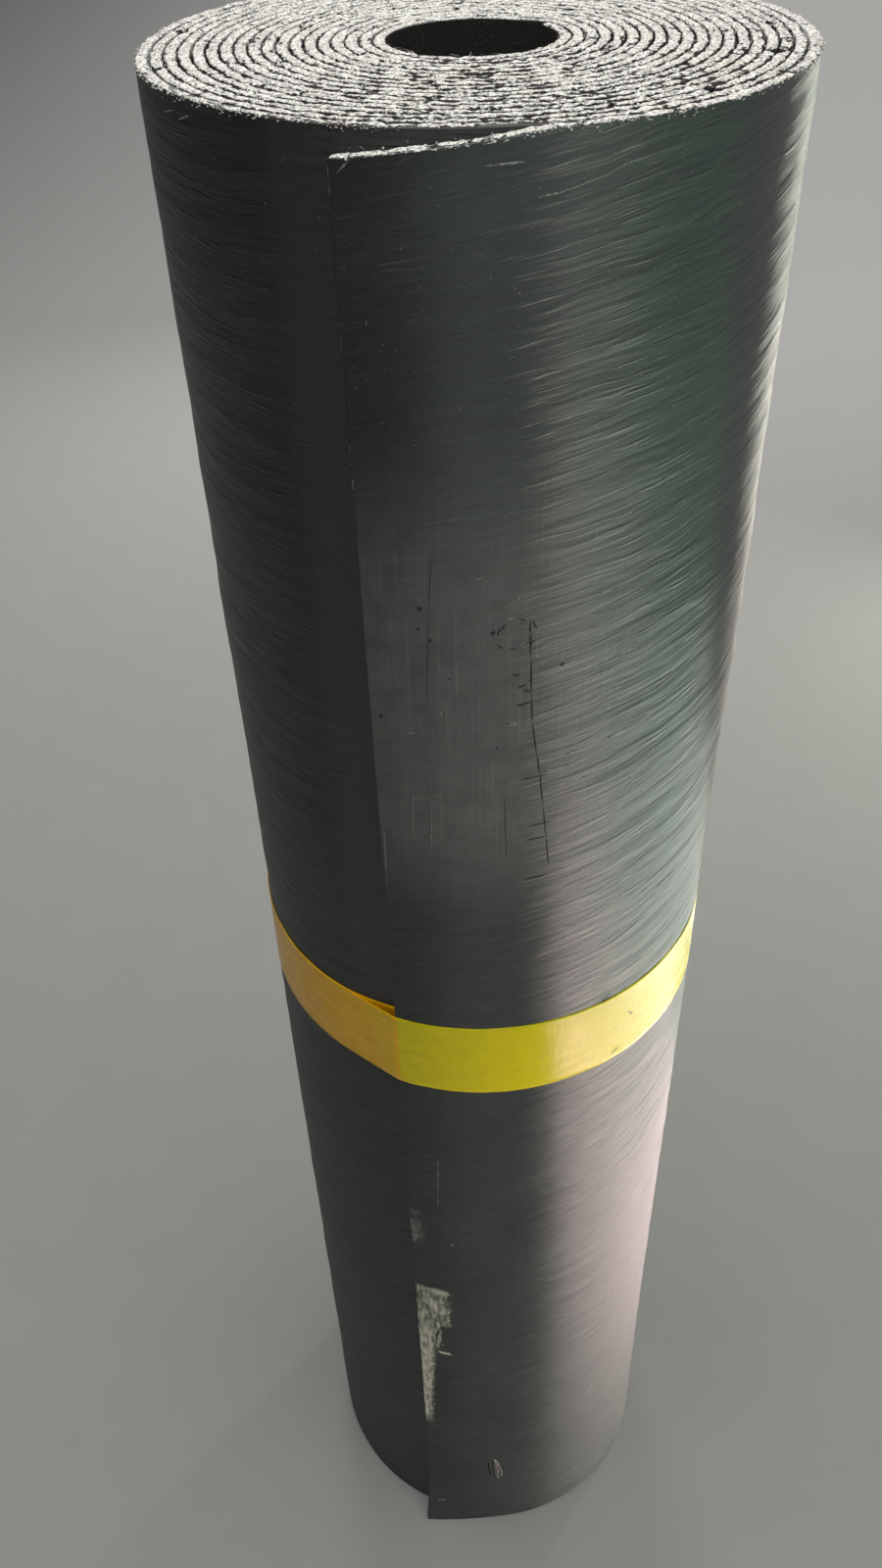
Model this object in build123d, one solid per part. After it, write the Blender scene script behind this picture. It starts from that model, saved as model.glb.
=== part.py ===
from build123d import *
import os
from math import acos, atan, cos, degrees, floor, radians, sin

# A roll of bituminous roofing felt, standing on its end, with one wrap of tape round its middle.
# The origin is on the axis of the bore, on the plane of the foot. +Z runs up the bore.
# Lengths are in millimetres. Angles are in degrees, counter-clockwise seen from above.

# The sheet
SHEET_WIDTH = 1000.0
SHEET_THICKNESS = 4.5
TURN_GAP = 0.15
TURNS = 18.4
LOOSE_END_ANGLE = -110.5

# The hole through the middle
BORE_RADIUS = 30.0

# The spiral seam that shows between the turns on both ends
SEAM_WIDTH = 1.0
SEAM_DEPTH = 4.0

# The top corner of the loose end sits lower than the rest of the rim
CORNER_DROP = 8.0
CORNER_RUN = 66.0

# The foot corner of the loose end has sprung outwards, off the turn below it
SPRING_OUT = 11.0
SPRING_RUN = 60.0
SPRING_HEIGHT = 120.0
SPRING_LEVELS = 4

# The tape
TAPE_WIDTH = 50.0
TAPE_THICKNESS = 0.12
TAPE_HEIGHT = 552.5
TAPE_OVERLAP = 165.0
TAPE_BRIDGE = 14.0

# Room by which a cutter passes the surface it cuts
CLEAR = 1.0

# One turn of the spiral is four quarter arcs, each struck from its own corner of a small square
FULL_TURN = 360.0
QUARTER_TURN = 90.0
QUARTERS = 4

turn_pitch = SHEET_THICKNESS + TURN_GAP
outer_radius = BORE_RADIUS + turn_pitch * (TURNS + 1)
second_turn_radius = outer_radius - turn_pitch
quarter_step = turn_pitch / QUARTERS
inner_end = TURNS * FULL_TURN
spring_angle = degrees(SPRING_RUN / outer_radius)
bridge_angle = degrees(TAPE_BRIDGE / second_turn_radius)
overlap_angle = degrees(TAPE_OVERLAP / second_turn_radius)


def ray(angle):
    """A unit vector in the plan, at an angle from +X."""
    return Vector(cos(radians(angle)), sin(radians(angle)))


def arc_centre(quarter):
    """The centre that a quarter arc of the spiral is struck from."""
    start = LOOSE_END_ANGLE + quarter * QUARTER_TURN
    return (ray(start) - ray(start + QUARTER_TURN)) * (quarter_step / 2)


def arc_radius(quarter):
    """The radius of a quarter arc, counted from the loose end inwards."""
    return outer_radius - quarter_step / 2 - quarter * quarter_step


def sheet_point(turn, proud=0.0):
    """A point on the sheet's outer side, turn degrees of winding in from the loose end."""
    quarter = floor(turn / QUARTER_TURN)
    return arc_centre(quarter) + ray(LOOSE_END_ANGLE + turn) * (arc_radius(quarter) + proud)


def sheet_arcs(start, end, proud=0.0):
    """The sheet's outer side in plan between two winding angles, moved outwards by proud."""
    arcs = []
    while start < end:
        quarter = floor(start / QUARTER_TURN)
        stop = min(end, (quarter + 1) * QUARTER_TURN)
        first = (LOOSE_END_ANGLE + start) % FULL_TURN
        arcs.append(CenterArc(arc_centre(quarter), arc_radius(quarter) + proud, first, stop - start))
        start = stop
    return arcs


def closed_face(edges):
    """A flat face inside a closed run of edges."""
    return make_face(Wire(edges))


def bore_face():
    """The hole in plan: a circle, with the wedge that the sheet's inner end leaves beside it."""
    end_angle = LOOSE_END_ANGLE + inner_end
    end_radius = BORE_RADIUS + turn_pitch
    wedge_angle = degrees(acos(BORE_RADIUS / end_radius))
    step_foot = ray(end_angle) * BORE_RADIUS
    step_top = ray(end_angle) * end_radius
    wedge_tip = ray(end_angle + wedge_angle) * BORE_RADIUS
    first = (end_angle + wedge_angle) % FULL_TURN
    circle = CenterArc((0, 0), BORE_RADIUS, first, FULL_TURN - wedge_angle)
    return closed_face([circle, Line(step_foot, step_top), Line(step_top, wedge_tip)])


def roll_body():
    """The wound sheet: a spiral outline with the step of its loose end, and the hole."""
    step = Line(sheet_point(FULL_TURN), sheet_point(0.0))
    outline = closed_face([*sheet_arcs(0.0, FULL_TURN), step])
    return extrude(outline - bore_face(), SHEET_WIDTH)


def seam(depth):
    """The V that shows between the turns on one end. A negative depth cuts down from a top end."""
    half = SEAM_WIDTH / 2
    above = -CLEAR if depth > 0 else CLEAR
    across = Plane(
        origin=sheet_point(FULL_TURN),
        x_dir=ray(LOOSE_END_ANGLE),
        z_dir=ray(LOOSE_END_ANGLE - QUARTER_TURN),
    )
    vee = Polyline((-half, 0), (-half, above), (half, above), (half, 0), (0, depth), close=True)
    return sweep(across * make_face(vee), path=Wire(sheet_arcs(FULL_TURN, inner_end)))


def outer_turn(run, height):
    """A block round the outer turn's first stretch, from its inner side to just past its outer side."""
    angle = degrees(run / outer_radius)
    return extrude(closed_face([
        *sheet_arcs(FULL_TURN, FULL_TURN + angle),
        Line(sheet_point(FULL_TURN + angle), sheet_point(angle, CLEAR)),
        *sheet_arcs(0.0, angle, CLEAR),
        Line(sheet_point(0.0, CLEAR), sheet_point(FULL_TURN)),
    ]), height)


def corner_cut():
    """The sliver above the loose end's top edge, which slopes down to its corner."""
    turn_top = Pos(0, 0, SHEET_WIDTH - CORNER_DROP) * outer_turn(CORNER_RUN, CORNER_DROP + CLEAR)

    # The slope climbs along the tangent at the loose end, and is cut square through the sheet
    climb = outer_radius * sin(CORNER_RUN / outer_radius)
    slope = Polyline(
        (-CLEAR, -CORNER_DROP),
        (0, -CORNER_DROP),
        (climb, 0),
        (climb, CLEAR),
        (-CLEAR, CLEAR),
        close=True,
    )
    along = Plane(
        origin=(0, 0, SHEET_WIDTH),
        x_dir=ray(LOOSE_END_ANGLE + QUARTER_TURN),
        z_dir=ray(LOOSE_END_ANGLE),
    )
    return turn_top & extrude(along * make_face(slope), outer_radius + 2 * CLEAR)


def sprung_section(level):
    """The sprung corner in plan at one level, 0 at the floor and 1 where it lies flat again."""
    lift = SPRING_OUT * (1 - level) ** 2
    outside = []
    inside = []
    for part in (0.0, 0.5, 1.0):
        turn = spring_angle * (1 - part)
        lean = degrees(atan(2 * lift * part / SPRING_RUN))
        point = sheet_point(turn, lift * part**2)
        outside.append(point)
        inside.append(point - ray(LOOSE_END_ANGLE + turn + lean) * SHEET_THICKNESS)
    outline = closed_face([
        ThreePointArc(*outside),
        Line(outside[-1], inside[-1]),
        ThreePointArc(*inside),
        Line(inside[0], outside[0]),
    ])
    return Pos(0, 0, level * SPRING_HEIGHT) * outline


def sprung_corner():
    """The foot corner of the loose end, curling off the roll towards its tip."""
    return loft([sprung_section(step / (SPRING_LEVELS - 1)) for step in range(SPRING_LEVELS)])


def felt_roll():
    """The roll as one solid, with its seam on both ends and both corners of its loose end."""
    roll = roll_body() - corner_cut()
    roll -= seam(SEAM_DEPTH)
    roll -= Pos(0, 0, SHEET_WIDTH) * seam(-SEAM_DEPTH)
    roll -= outer_turn(SPRING_RUN, SPRING_HEIGHT)
    return roll + sprung_corner()


def tape_band():
    """The tape: once round the roll, down over the loose end's step, and on over its own start."""
    landing = FULL_TURN - bridge_angle
    tape_end = FULL_TURN - overlap_angle
    one_layer = TAPE_THICKNESS
    two_layers = 2 * TAPE_THICKNESS
    outer_side = closed_face([
        *sheet_arcs(0.0, tape_end, one_layer),
        Line(sheet_point(tape_end, one_layer), sheet_point(tape_end, two_layers)),
        *sheet_arcs(tape_end, landing, two_layers),
        Line(sheet_point(landing, two_layers), sheet_point(0.0, one_layer)),
    ])
    inner_side = closed_face([
        *sheet_arcs(0.0, FULL_TURN),
        Line(sheet_point(FULL_TURN), sheet_point(FULL_TURN, one_layer)),
        *sheet_arcs(landing, FULL_TURN, one_layer),
        Line(sheet_point(landing, one_layer), sheet_point(0.0)),
    ])
    return Pos(0, 0, TAPE_HEIGHT) * extrude(outer_side - inner_side, TAPE_WIDTH)


os.makedirs("parts", exist_ok=True)
pieces = {"felt_roll": felt_roll(), "tape_band": tape_band()}
for name, piece in pieces.items():
    export_step(piece, f"parts/{name}.step")
    print(name, "solids", len(piece.solids()), "volume", round(piece.volume), "valid", piece.is_valid)

land = sheet_point(FULL_TURN * TURNS / 2, -SHEET_THICKNESS / 2)
print("outer radius", round(outer_radius, 3), "point on the foot", land)
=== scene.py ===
"""The looks of a standing roll of film-faced bituminous roofing felt with one wrap of tape.

Every length is in metres and every angle in radians, unless a name says otherwise. The sheet is
described by its winding angle, called turn: 0 at the loose end, growing inwards to the bore.
"""
import logging
import math
from dataclasses import dataclass, field
from enum import Enum
from itertools import combinations

import bpy
import numpy as np
from mathutils import Matrix, Vector


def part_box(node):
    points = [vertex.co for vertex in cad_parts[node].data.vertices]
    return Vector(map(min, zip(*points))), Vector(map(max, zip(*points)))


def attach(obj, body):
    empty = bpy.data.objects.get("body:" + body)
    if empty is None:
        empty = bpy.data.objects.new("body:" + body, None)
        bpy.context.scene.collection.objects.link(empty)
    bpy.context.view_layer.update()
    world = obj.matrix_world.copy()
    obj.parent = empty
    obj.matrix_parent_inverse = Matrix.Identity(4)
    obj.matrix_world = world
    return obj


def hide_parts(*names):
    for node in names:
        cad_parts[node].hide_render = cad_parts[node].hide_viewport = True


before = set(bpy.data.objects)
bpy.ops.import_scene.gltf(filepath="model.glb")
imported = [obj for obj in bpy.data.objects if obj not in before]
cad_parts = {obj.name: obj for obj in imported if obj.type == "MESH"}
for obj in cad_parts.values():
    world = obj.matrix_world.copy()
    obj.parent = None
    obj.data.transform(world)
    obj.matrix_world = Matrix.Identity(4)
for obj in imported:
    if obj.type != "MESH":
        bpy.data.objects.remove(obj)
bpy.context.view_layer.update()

MM = 0.001
LOG = logging.getLogger("roofing_felt")
BODY = "root"
SHEET_UV = "sheet"
LAYERS = "layers"
SHADE = "shade"


def linear(colour: str) -> tuple[float, float, float, float]:
    """Turns an sRGB hex colour into linear RGBA.

    Args:
        colour: Six hex digits after a hash mark.

    Returns:
        The linear red, green, blue and an alpha of 1.
    """
    channels = [int(colour[i:i + 2], 16) / 255 for i in (1, 3, 5)]
    red, green, blue = (c / 12.92 if c <= 0.04045 else ((c + 0.055) / 1.055) ** 2.4 for c in channels)
    return red, green, blue, 1.0


def ease(share: np.ndarray) -> np.ndarray:
    """The smooth step of a share: 0 below 0, 1 above 1, level at both ends."""
    share = np.clip(share, 0.0, 1.0)
    return share * share * (3.0 - 2.0 * share)


class SmoothNoise:
    """A smooth random field: seeded values on a lattice of cells, eased between their corners."""

    SIZE = 512

    def __init__(self, seed: int, cell_x: float, cell_y: float) -> None:
        """Draws the lattice.

        Args:
            seed: Seed of the lattice values.
            cell_x: Size of a cell along the first coordinate.
            cell_y: Size of a cell along the second coordinate.
        """
        self.values = np.random.default_rng(seed).uniform(-1.0, 1.0, (self.SIZE, self.SIZE))
        self.cell = (cell_x, cell_y)

    def __call__(self, x: np.ndarray, y: np.ndarray) -> np.ndarray:
        """Reads the field.

        Args:
            x: First coordinates.
            y: Second coordinates.

        Returns:
            Values from -1 to 1, in the shape of x and y together.
        """
        x, y = np.broadcast_arrays(x / self.cell[0], y / self.cell[1])
        column, row = np.floor(x).astype(int), np.floor(y).astype(int)
        right, up = ease(x - column), ease(y - row)
        near, far = column % self.SIZE, (column + 1) % self.SIZE
        low, high = row % self.SIZE, (row + 1) % self.SIZE
        lower = self.values[near, low] * (1 - right) + self.values[far, low] * right
        upper = self.values[near, high] * (1 - right) + self.values[far, high] * right
        return lower * (1 - up) + upper * up


def add_node(tree: bpy.types.NodeTree, kind: str, inputs: dict | tuple = (), output: int | str = 0,
             **settings: object) -> bpy.types.NodeSocket | None:
    """Adds one node, sets its properties, and links or fills its inputs.

    Args:
        tree: The node tree that gets the node.
        kind: The node's type, without the word that all shader nodes start with.
        inputs: Sockets, values or sRGB hex colours, in the node's order, or by input name or number.
        output: The name or number of the output that is wanted.
        **settings: The node's own properties.

    Returns:
        That output's socket, or None where the node has no outputs.
    """
    node = tree.nodes.new("ShaderNode" + kind)
    for name, value in settings.items():
        setattr(node, name, value)
    for name, value in inputs.items() if isinstance(inputs, dict) else enumerate(inputs):
        if isinstance(value, bpy.types.NodeSocket):
            tree.links.new(value, node.inputs[name])
        else:
            node.inputs[name].default_value = linear(value) if isinstance(value, str) else value
    return node.outputs[output] if node.outputs else None


def new_material(name: str) -> tuple[bpy.types.Material, bpy.types.NodeTree]:
    """Makes an empty node material.

    Args:
        name: The material's name.

    Returns:
        The material and its node tree.
    """
    material = bpy.data.materials.new(name)
    material.use_nodes = True
    material.node_tree.nodes.clear()
    return material, material.node_tree


def finish_surface(tree: bpy.types.NodeTree, inputs: dict) -> None:
    """Ends a material in one Principled surface.

    Args:
        tree: The material's node tree.
        inputs: Values or sockets for the Principled node's inputs.
    """
    add_node(tree, "OutputMaterial", {"Surface": add_node(tree, "BsdfPrincipled", inputs)})


def stretched_noise(tree: bpy.types.NodeTree, place: bpy.types.NodeSocket, size_mm: tuple,
                    detail: float = 2.0, shift: tuple = (0.0, 0.0, 0.0)) -> bpy.types.NodeSocket:
    """Noise whose grains have a real size along each coordinate.

    Args:
        tree: The material's node tree.
        place: The coordinates, in metres.
        size_mm: The grain's size along each coordinate, in millimetres.
        detail: How many finer octaves are added.
        shift: Where the pattern starts, so that two of one size differ.

    Returns:
        The noise value's socket, about 0.5 on average.
    """
    scale = tuple(1.0 / (size * MM) for size in size_mm)
    grid = add_node(tree, "Mapping", {"Vector": place, "Scale": scale, "Location": shift})
    return add_node(tree, "TexNoise", {"Vector": grid, "Scale": 1.0, "Detail": detail})


def mask(tree: bpy.types.NodeTree, *factors: tuple | bpy.types.NodeSocket) -> bpy.types.NodeSocket:
    """How much of a mark shows at each point: the product of ramps.

    A ramp carries a value smoothly from one range to another and holds it at both ends. It is a
    tuple of the value, where the ramp starts, where it ends, and the results at those two
    places if they aren't 0 and 1.

    Args:
        tree: The material's node tree.
        *factors: Ramps, or the sockets of other masks.

    Returns:
        The product's socket.
    """
    result = None
    for factor in factors:
        if isinstance(factor, tuple):
            factor = add_node(tree, "MapRange", factor, interpolation_type="SMOOTHSTEP")
        if result is not None:
            factor = add_node(tree, "Math", (result, factor), operation="MULTIPLY")
        result = factor
    return result


def paint(tree: bpy.types.NodeTree, ground: str | bpy.types.NodeSocket,
          *coats: tuple) -> bpy.types.NodeSocket:
    """A colour with coats of others laid over it, one after another.

    Args:
        tree: The material's node tree.
        ground: The colour underneath.
        *coats: Pairs of a mask, which says how much of the coat covers, and the coat's colour.

    Returns:
        The socket of the colour that results.
    """
    for cover, colour in coats:
        ground = add_node(tree, "Mix", {0: cover, 6: ground, 7: colour}, 2, data_type="RGBA")
    return ground


def fine_relief(tree: bpy.types.NodeTree, *layers: tuple) -> bpy.types.NodeSocket:
    """The shading of fine reliefs that lie over each other.

    Args:
        tree: The material's node tree.
        *layers: For each relief its height pattern, its strength, and its depth in millimetres.

    Returns:
        The socket of the bent normal.
    """
    inputs = {}
    for height, strength, depth_mm in layers:
        inputs |= {"Height": height, "Strength": strength, "Distance": depth_mm * MM}
        inputs["Normal"] = add_node(tree, "Bump", inputs)
    return inputs["Normal"]


@dataclass(frozen=True)
class FilmFinish:
    """Polyethylene film, melted on to the bitumen and drawn tight by the winding.

    It is a black satin skin. Its fine wrinkles run round the roll, so each highlight is smeared
    upright and broken into streaks, and pale painted highlights on the wrinkles' crests add to them.
    It has dust, faint upright scratches, and glue residue beside the loose end, a reddish painted
    reflection in a strip beside the loose end's lap, and a rubbed patch that is partly painted
    reflection. A mark's box is its left, right, bottom and top on the sheet, in millimetres.
    """

    name: str = "polyethylene_film_on_bitumen"
    deep: str = "#0a0b0b"
    worn: str = "#181b1a"
    # colour of the painted reflection in the strip beside the loose end's lap
    strip_reflection_colour: str = "#33262a"
    # colour of the dust, of the painted highlights on the wrinkles' crests, and of the rubbed patch's partly
    # painted reflection
    dust_and_sheen: str = "#938b89"
    residue: str = "#d8d4c2"
    sheen_tint: str = "#f6fffb"
    roughness: float = 0.44
    dusty_roughness: float = 0.75
    sheen_stretch: float = 0.80
    across_sheet: float = 0.25
    wrinkle_mm: tuple = (20.0, 1.5, 1.0)
    wrinkle_depth_mm: float = 0.21
    crest_mm: tuple = (10.0, 0.9, 1.0)
    fold_mm: tuple = (62.0, 7.5, 1.0)
    fold_depth_mm: float = 1.15
    dent_mm: tuple = (26.0, 1.8, 1.0)
    dent_depth_mm: float = 0.20
    waver_mm: tuple = (38.0, 24.0, 1.0)
    waver_depth_mm: float = 5.0
    climb_mm: float = 46.0
    climb_reach_mm: float = 150.0
    grain_mm: tuple = (1.0, 0.7, 1.0)
    grain_depth_mm: float = 0.05
    cloud_mm: tuple = (70.0, 110.0, 70.0)
    scratch_mm: tuple = (0.8, 70.0, 1.0)
    speck_mm: tuple = (0.9, 0.9, 0.9)
    patch_mm: tuple = (9.0, 12.0, 1.0)
    streak_mm: tuple = (2.2, 11.0, 1.0)
    crumb_mm: tuple = (1.6, 2.6, 1.0)
    torn_mm: float = 2.0
    square_box: tuple = (-9.0, 18.0, 305.0, 344.0)
    square_rim_box: tuple = (4.0, 20.0, 342.5, 344.0)
    leg_box: tuple = (11.5, 14.0, 268.0, 306.0)
    leg_foot_box: tuple = (13.5, 20.0, 265.0, 266.5)
    strip_widths_mm: tuple = (5.5, 10.5)
    residue_depth_mm: float = 0.12
    smear_box: tuple = (-5.0, 2.0, 400.0, 428.0)
    # box of the rubbed patch, whose pale colour is partly real rubbing and partly painted reflection
    rubbed_reflection_box: tuple = (0.0, 46.0, 745.0, 830.0)
    scatter_box: tuple = (3.0, 42.0, 403.0, 425.0)
    lap_mm: float = 755.0
    rim_mm: float = 983.0

    def window(self, tree: bpy.types.NodeTree, along: bpy.types.NodeSocket, up: bpy.types.NodeSocket,
               box: tuple, soft_mm: float) -> bpy.types.NodeSocket:
        """A soft-edged rectangle on the sheet.

        Args:
            tree: The material's node tree.
            along: Distance along the sheet, in metres.
            up: Height, in metres.
            box: The rectangle's left, right, bottom and top, in millimetres.
            soft_mm: How wide its edges fade, in millimetres.

        Returns:
            1 inside, 0 outside.
        """
        left, right, bottom, top = (side * MM for side in box)
        soft = soft_mm * MM
        return mask(tree, (along, left - soft, left), (along, right + soft, right),
                    (up, bottom - soft, bottom), (up, top + soft, top))

    def residue_share(self, tree: bpy.types.NodeTree, place: bpy.types.NodeSocket,
                      along: bpy.types.NodeSocket, up: bpy.types.NodeSocket) -> bpy.types.NodeSocket:
        """Where glue is left: a thin torn square beside the loose end, and a strip that narrows below it.

        Args:
            tree: The material's node tree.
            place: The sheet's coordinates, along and up, in metres.
            along: The first of them.
            up: The second of them.

        Returns:
            The share of residue, 0 to 1.
        """
        streaks = stretched_noise(tree, place, self.streak_mm, 4.0)
        patches = stretched_noise(tree, place, self.patch_mm, 5.0, (2.0, 8.0, 0.0))
        crumbs = stretched_noise(tree, place, self.crumb_mm, 3.0)
        torn = mask(tree, (crumbs, 0.2, 0.8, -self.torn_mm * MM, self.torn_mm * MM))
        ragged = add_node(tree, "Math", (along, torn), operation="ADD")
        ragged_up = add_node(tree, "Math", (up, torn), operation="ADD")
        square = mask(tree, self.window(tree, ragged, ragged_up, self.square_box, 5.0),
                      (streaks, 0.34, 0.64, 0.12, 0.80), (patches, 0.36, 0.60, 0.35, 1.0))
        square_rim = mask(tree, self.window(tree, ragged, ragged_up, self.square_rim_box, 1.4),
                          (patches, 0.36, 0.55, 0.2, 0.7))
        leg = mask(tree, self.window(tree, ragged, up, self.leg_box, 1.5), (streaks, 0.40, 0.60, 0.0, 0.6))
        leg_foot = mask(tree, self.window(tree, ragged, up, self.leg_foot_box, 1.0),
                        (patches, 0.3, 0.5, 0.3, 0.75))
        foot_width, head_width = self.strip_widths_mm
        width = mask(tree, (up, 0.150, 0.300, foot_width * MM, head_width * MM))
        inside = add_node(tree, "Math", (width, ragged), operation="SUBTRACT")
        share = mask(tree, (inside, -1.5 * MM, 3.0 * MM), (ragged_up, 0.150, 0.172), (up, 0.330, 0.280),
                     (streaks, 0.34, 0.62, 0.30, 0.85))
        for part in (square, square_rim, leg, leg_foot):
            share = add_node(tree, "Math", (share, part), operation="MAXIMUM")
        return share

    def dust_and_sheen_share(self, tree: bpy.types.NodeTree, place: bpy.types.NodeSocket, space: bpy.types.NodeSocket,
                   along: bpy.types.NodeSocket, up: bpy.types.NodeSocket) -> bpy.types.NodeSocket:
        """Pale dust: specks everywhere, a smear above the residue, and a rubbed patch above the tape, which
        is partly painted reflection.

        Args:
            tree: The material's node tree.
            place: The sheet's coordinates, along and up, in metres.
            space: The object's coordinates.
            along: The first of the sheet's coordinates.
            up: The second of them.

        Returns:
            The share of dust and of painted reflection, 0 to 1.
        """
        grains = stretched_noise(tree, space, self.speck_mm, 1.0)
        cloud = stretched_noise(tree, place, self.patch_mm, 4.0)
        scratches = stretched_noise(tree, place, self.scratch_mm, 2.0, (1.0, 5.0, 0.0))
        smear = mask(tree, self.window(tree, along, up, self.smear_box, 8.0), (cloud, 0.36, 0.56),
                     (grains, 0.45, 0.62, 0.10, 1.0))
        # partly real rubbing, partly painted reflection: a pale patch above the tape, fading out over 85 mm
        rubbed_and_reflection = mask(tree, self.window(tree, along, up, self.rubbed_reflection_box, 85.0),
                      (cloud, 0.2, 0.7, 0.6, 1.0), (scratches, 0.50, 0.78, 0.32, 0.54))
        scatter = mask(tree, self.window(tree, along, up, self.scatter_box, 9.0), (grains, 0.67, 0.73))
        share = mask(tree, (grains, 0.72, 0.79, 0.0, 0.7))
        for part in (smear, rubbed_and_reflection, scatter):
            share = add_node(tree, "Math", (share, part), operation="MAXIMUM")
        return share

    def wrinkle_place(self, tree: bpy.types.NodeTree, place: bpy.types.NodeSocket,
                      along: bpy.types.NodeSocket, up: bpy.types.NodeSocket) -> bpy.types.NodeSocket:
        """The coordinates that the wrinkles follow, which waver and climb towards the loose end.

        The climb is its height at the loose end, times e to the power of minus the distance
        along the sheet over the climb's reach.

        Args:
            tree: The material's node tree.
            place: The sheet's coordinates, along and up, in metres.
            along: The first of them.
            up: The second of them.

        Returns:
            The wrinkles' coordinates.
        """
        fall = add_node(tree, "Math", (along, -1.0 / (self.climb_reach_mm * MM)), operation="MULTIPLY")
        left = add_node(tree, "Math", (fall,), operation="EXPONENT")
        climbed = add_node(tree, "Math", (left, self.climb_mm * MM, up), operation="MULTIPLY_ADD")
        waver = stretched_noise(tree, place, self.waver_mm, 2.0, (6.0, 4.0, 0.0))
        depth = self.waver_depth_mm * MM
        wavered = add_node(tree, "Math", (waver, depth, climbed), operation="MULTIPLY_ADD")
        return add_node(tree, "CombineXYZ", (along, wavered))

    def build(self) -> bpy.types.Material:
        """Makes the material. Patterns along the sheet follow the piece's own UV map, in metres.

        Returns:
            The material.
        """
        material, tree = new_material(self.name)
        place = add_node(tree, "UVMap", uv_map=SHEET_UV)
        space = add_node(tree, "TexCoord", output="Object")
        along = add_node(tree, "SeparateXYZ", (place,), "X")
        up = add_node(tree, "SeparateXYZ", (place,), "Y")
        slanted = self.wrinkle_place(tree, place, along, up)
        wrinkles = stretched_noise(tree, slanted, self.wrinkle_mm)
        folds = stretched_noise(tree, slanted, self.fold_mm, 2.0, (5.0, 2.0, 0.0))
        dents = stretched_noise(tree, slanted, self.dent_mm, 1.0, (7.0, 3.0, 0.0))
        crests = stretched_noise(tree, slanted, self.crest_mm, 3.0)
        clouds = stretched_noise(tree, space, self.cloud_mm, 4.0)
        grain = stretched_noise(tree, place, self.grain_mm)
        residue = self.residue_share(tree, place, along, up)
        dust_and_sheen = self.dust_and_sheen_share(tree, place, space, along, up)

        lap, rim = self.lap_mm * MM, self.rim_mm * MM
        # painted reflection: a reddish strip on the lap beside the loose end, only above about half height
        strip_reflection_share = mask(tree, (along, lap - 30.0 * MM, lap - 18.0 * MM, 0.0, 0.8), (up, 0.45, 0.70))
        # painted highlight: pale lines on the wrinkles' crests stand in for the sheen's streaks
        painted_crest_highlights = mask(tree, (crests, 0.56, 0.76, 0.0, 0.5), (clouds, 0.40, 0.62, 0.14, 0.36))
        colour = paint(tree, self.deep, (mask(tree, (clouds, 0.32, 0.68)), self.worn),
                       (painted_crest_highlights, self.dust_and_sheen), (strip_reflection_share, self.strip_reflection_colour), (dust_and_sheen, self.dust_and_sheen),
                       (residue, self.residue))

        satin = mask(tree, (wrinkles, 0.3, 0.7, self.roughness - 0.03, self.roughness + 0.05))
        matt = mask(tree, (along, lap - 10.0 * MM, lap), (up, rim - 4.0 * MM, rim))
        for part in (dust_and_sheen, residue):
            matt = add_node(tree, "Math", (matt, part), operation="MAXIMUM")
        roughness = add_node(tree, "Mix", {0: matt, 2: satin, 3: self.dusty_roughness})
        normal = fine_relief(tree, (folds, 1.0, self.fold_depth_mm), (wrinkles, 1.0, self.wrinkle_depth_mm),
                             (mask(tree, (dents, 0.55, 0.75)), 1.0, self.dent_depth_mm),
                             (residue, 0.6, self.residue_depth_mm), (grain, 0.8, self.grain_depth_mm))
        round_roll = add_node(tree, "Tangent", direction_type="UV_MAP", uv_map=SHEET_UV)
        finish_surface(tree, {"Base Color": colour, "Roughness": roughness, "Normal": normal, "IOR": 1.75,
                              "Specular Tint": self.sheen_tint, "Anisotropic": self.sheen_stretch,
                              "Anisotropic Rotation": self.across_sheet, "Tangent": round_roll})
        return material


@dataclass(frozen=True)
class TornEdgeFinish:
    """Bitumen felt cut across and torn: pale dusty mat fibres and filler over black bitumen.

    It is dry and matt, grey-white where the fibres stand and black in every pit and gap, partly for the
    bitumen and partly as painted shade. The torn ends are also painted darker at the roll's front and
    lighter on its left, as painted shade and painted light.
    """

    name: str = "torn_felt_edge"
    pale: str = "#e9e6e1"
    grey: str = "#8f8b88"
    dark: str = "#221d1d"
    warm: str = "#d6cfbd"
    grain_mm: tuple = (0.9, 0.9, 0.9)
    grain_depth_mm: float = 0.4
    crumb_mm: tuple = (2.2, 2.2, 2.2)
    lump_mm: tuple = (2.6, 2.6, 2.6)
    tint_mm: tuple = (22.0, 22.0, 22.0)

    def build(self) -> bpy.types.Material:
        """Makes the material. The attribute shade is 0 in the gaps and 1 on the standing fibres; it carries
        the painted shade and the painted light.

        Returns:
            The material.
        """
        material, tree = new_material(self.name)
        space = add_node(tree, "TexCoord", output="Object")
        shade = add_node(tree, "Attribute", output="Fac", attribute_name=SHADE)
        grain = stretched_noise(tree, space, self.grain_mm, 3.0)
        crumbs = stretched_noise(tree, space, self.crumb_mm)
        lumps = stretched_noise(tree, space, self.lump_mm, 1.0, (4.0, 9.0, 2.0))
        tint = stretched_noise(tree, space, self.tint_mm)
        fibres = paint(tree, self.grey, (mask(tree, (grain, 0.36, 0.60)), self.pale),
                       (mask(tree, (tint, 0.5, 0.74, 0.0, 0.25)), self.warm))
        uneven = mask(tree, (crumbs, 0.25, 0.75, -0.34, 0.26))
        lift = add_node(tree, "Math", (shade, uneven), operation="ADD")
        standing = mask(tree, (lift, 0.22, 0.52), (lumps, 0.76, 0.68))
        finish_surface(tree, {"Base Color": paint(tree, self.dark, (standing, fibres)), "Roughness": 0.86,
                              "Normal": fine_relief(tree, (grain, 0.9, self.grain_depth_mm)),
                              "IOR": 1.5, "Specular IOR Level": 0.3})
        return material


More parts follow.
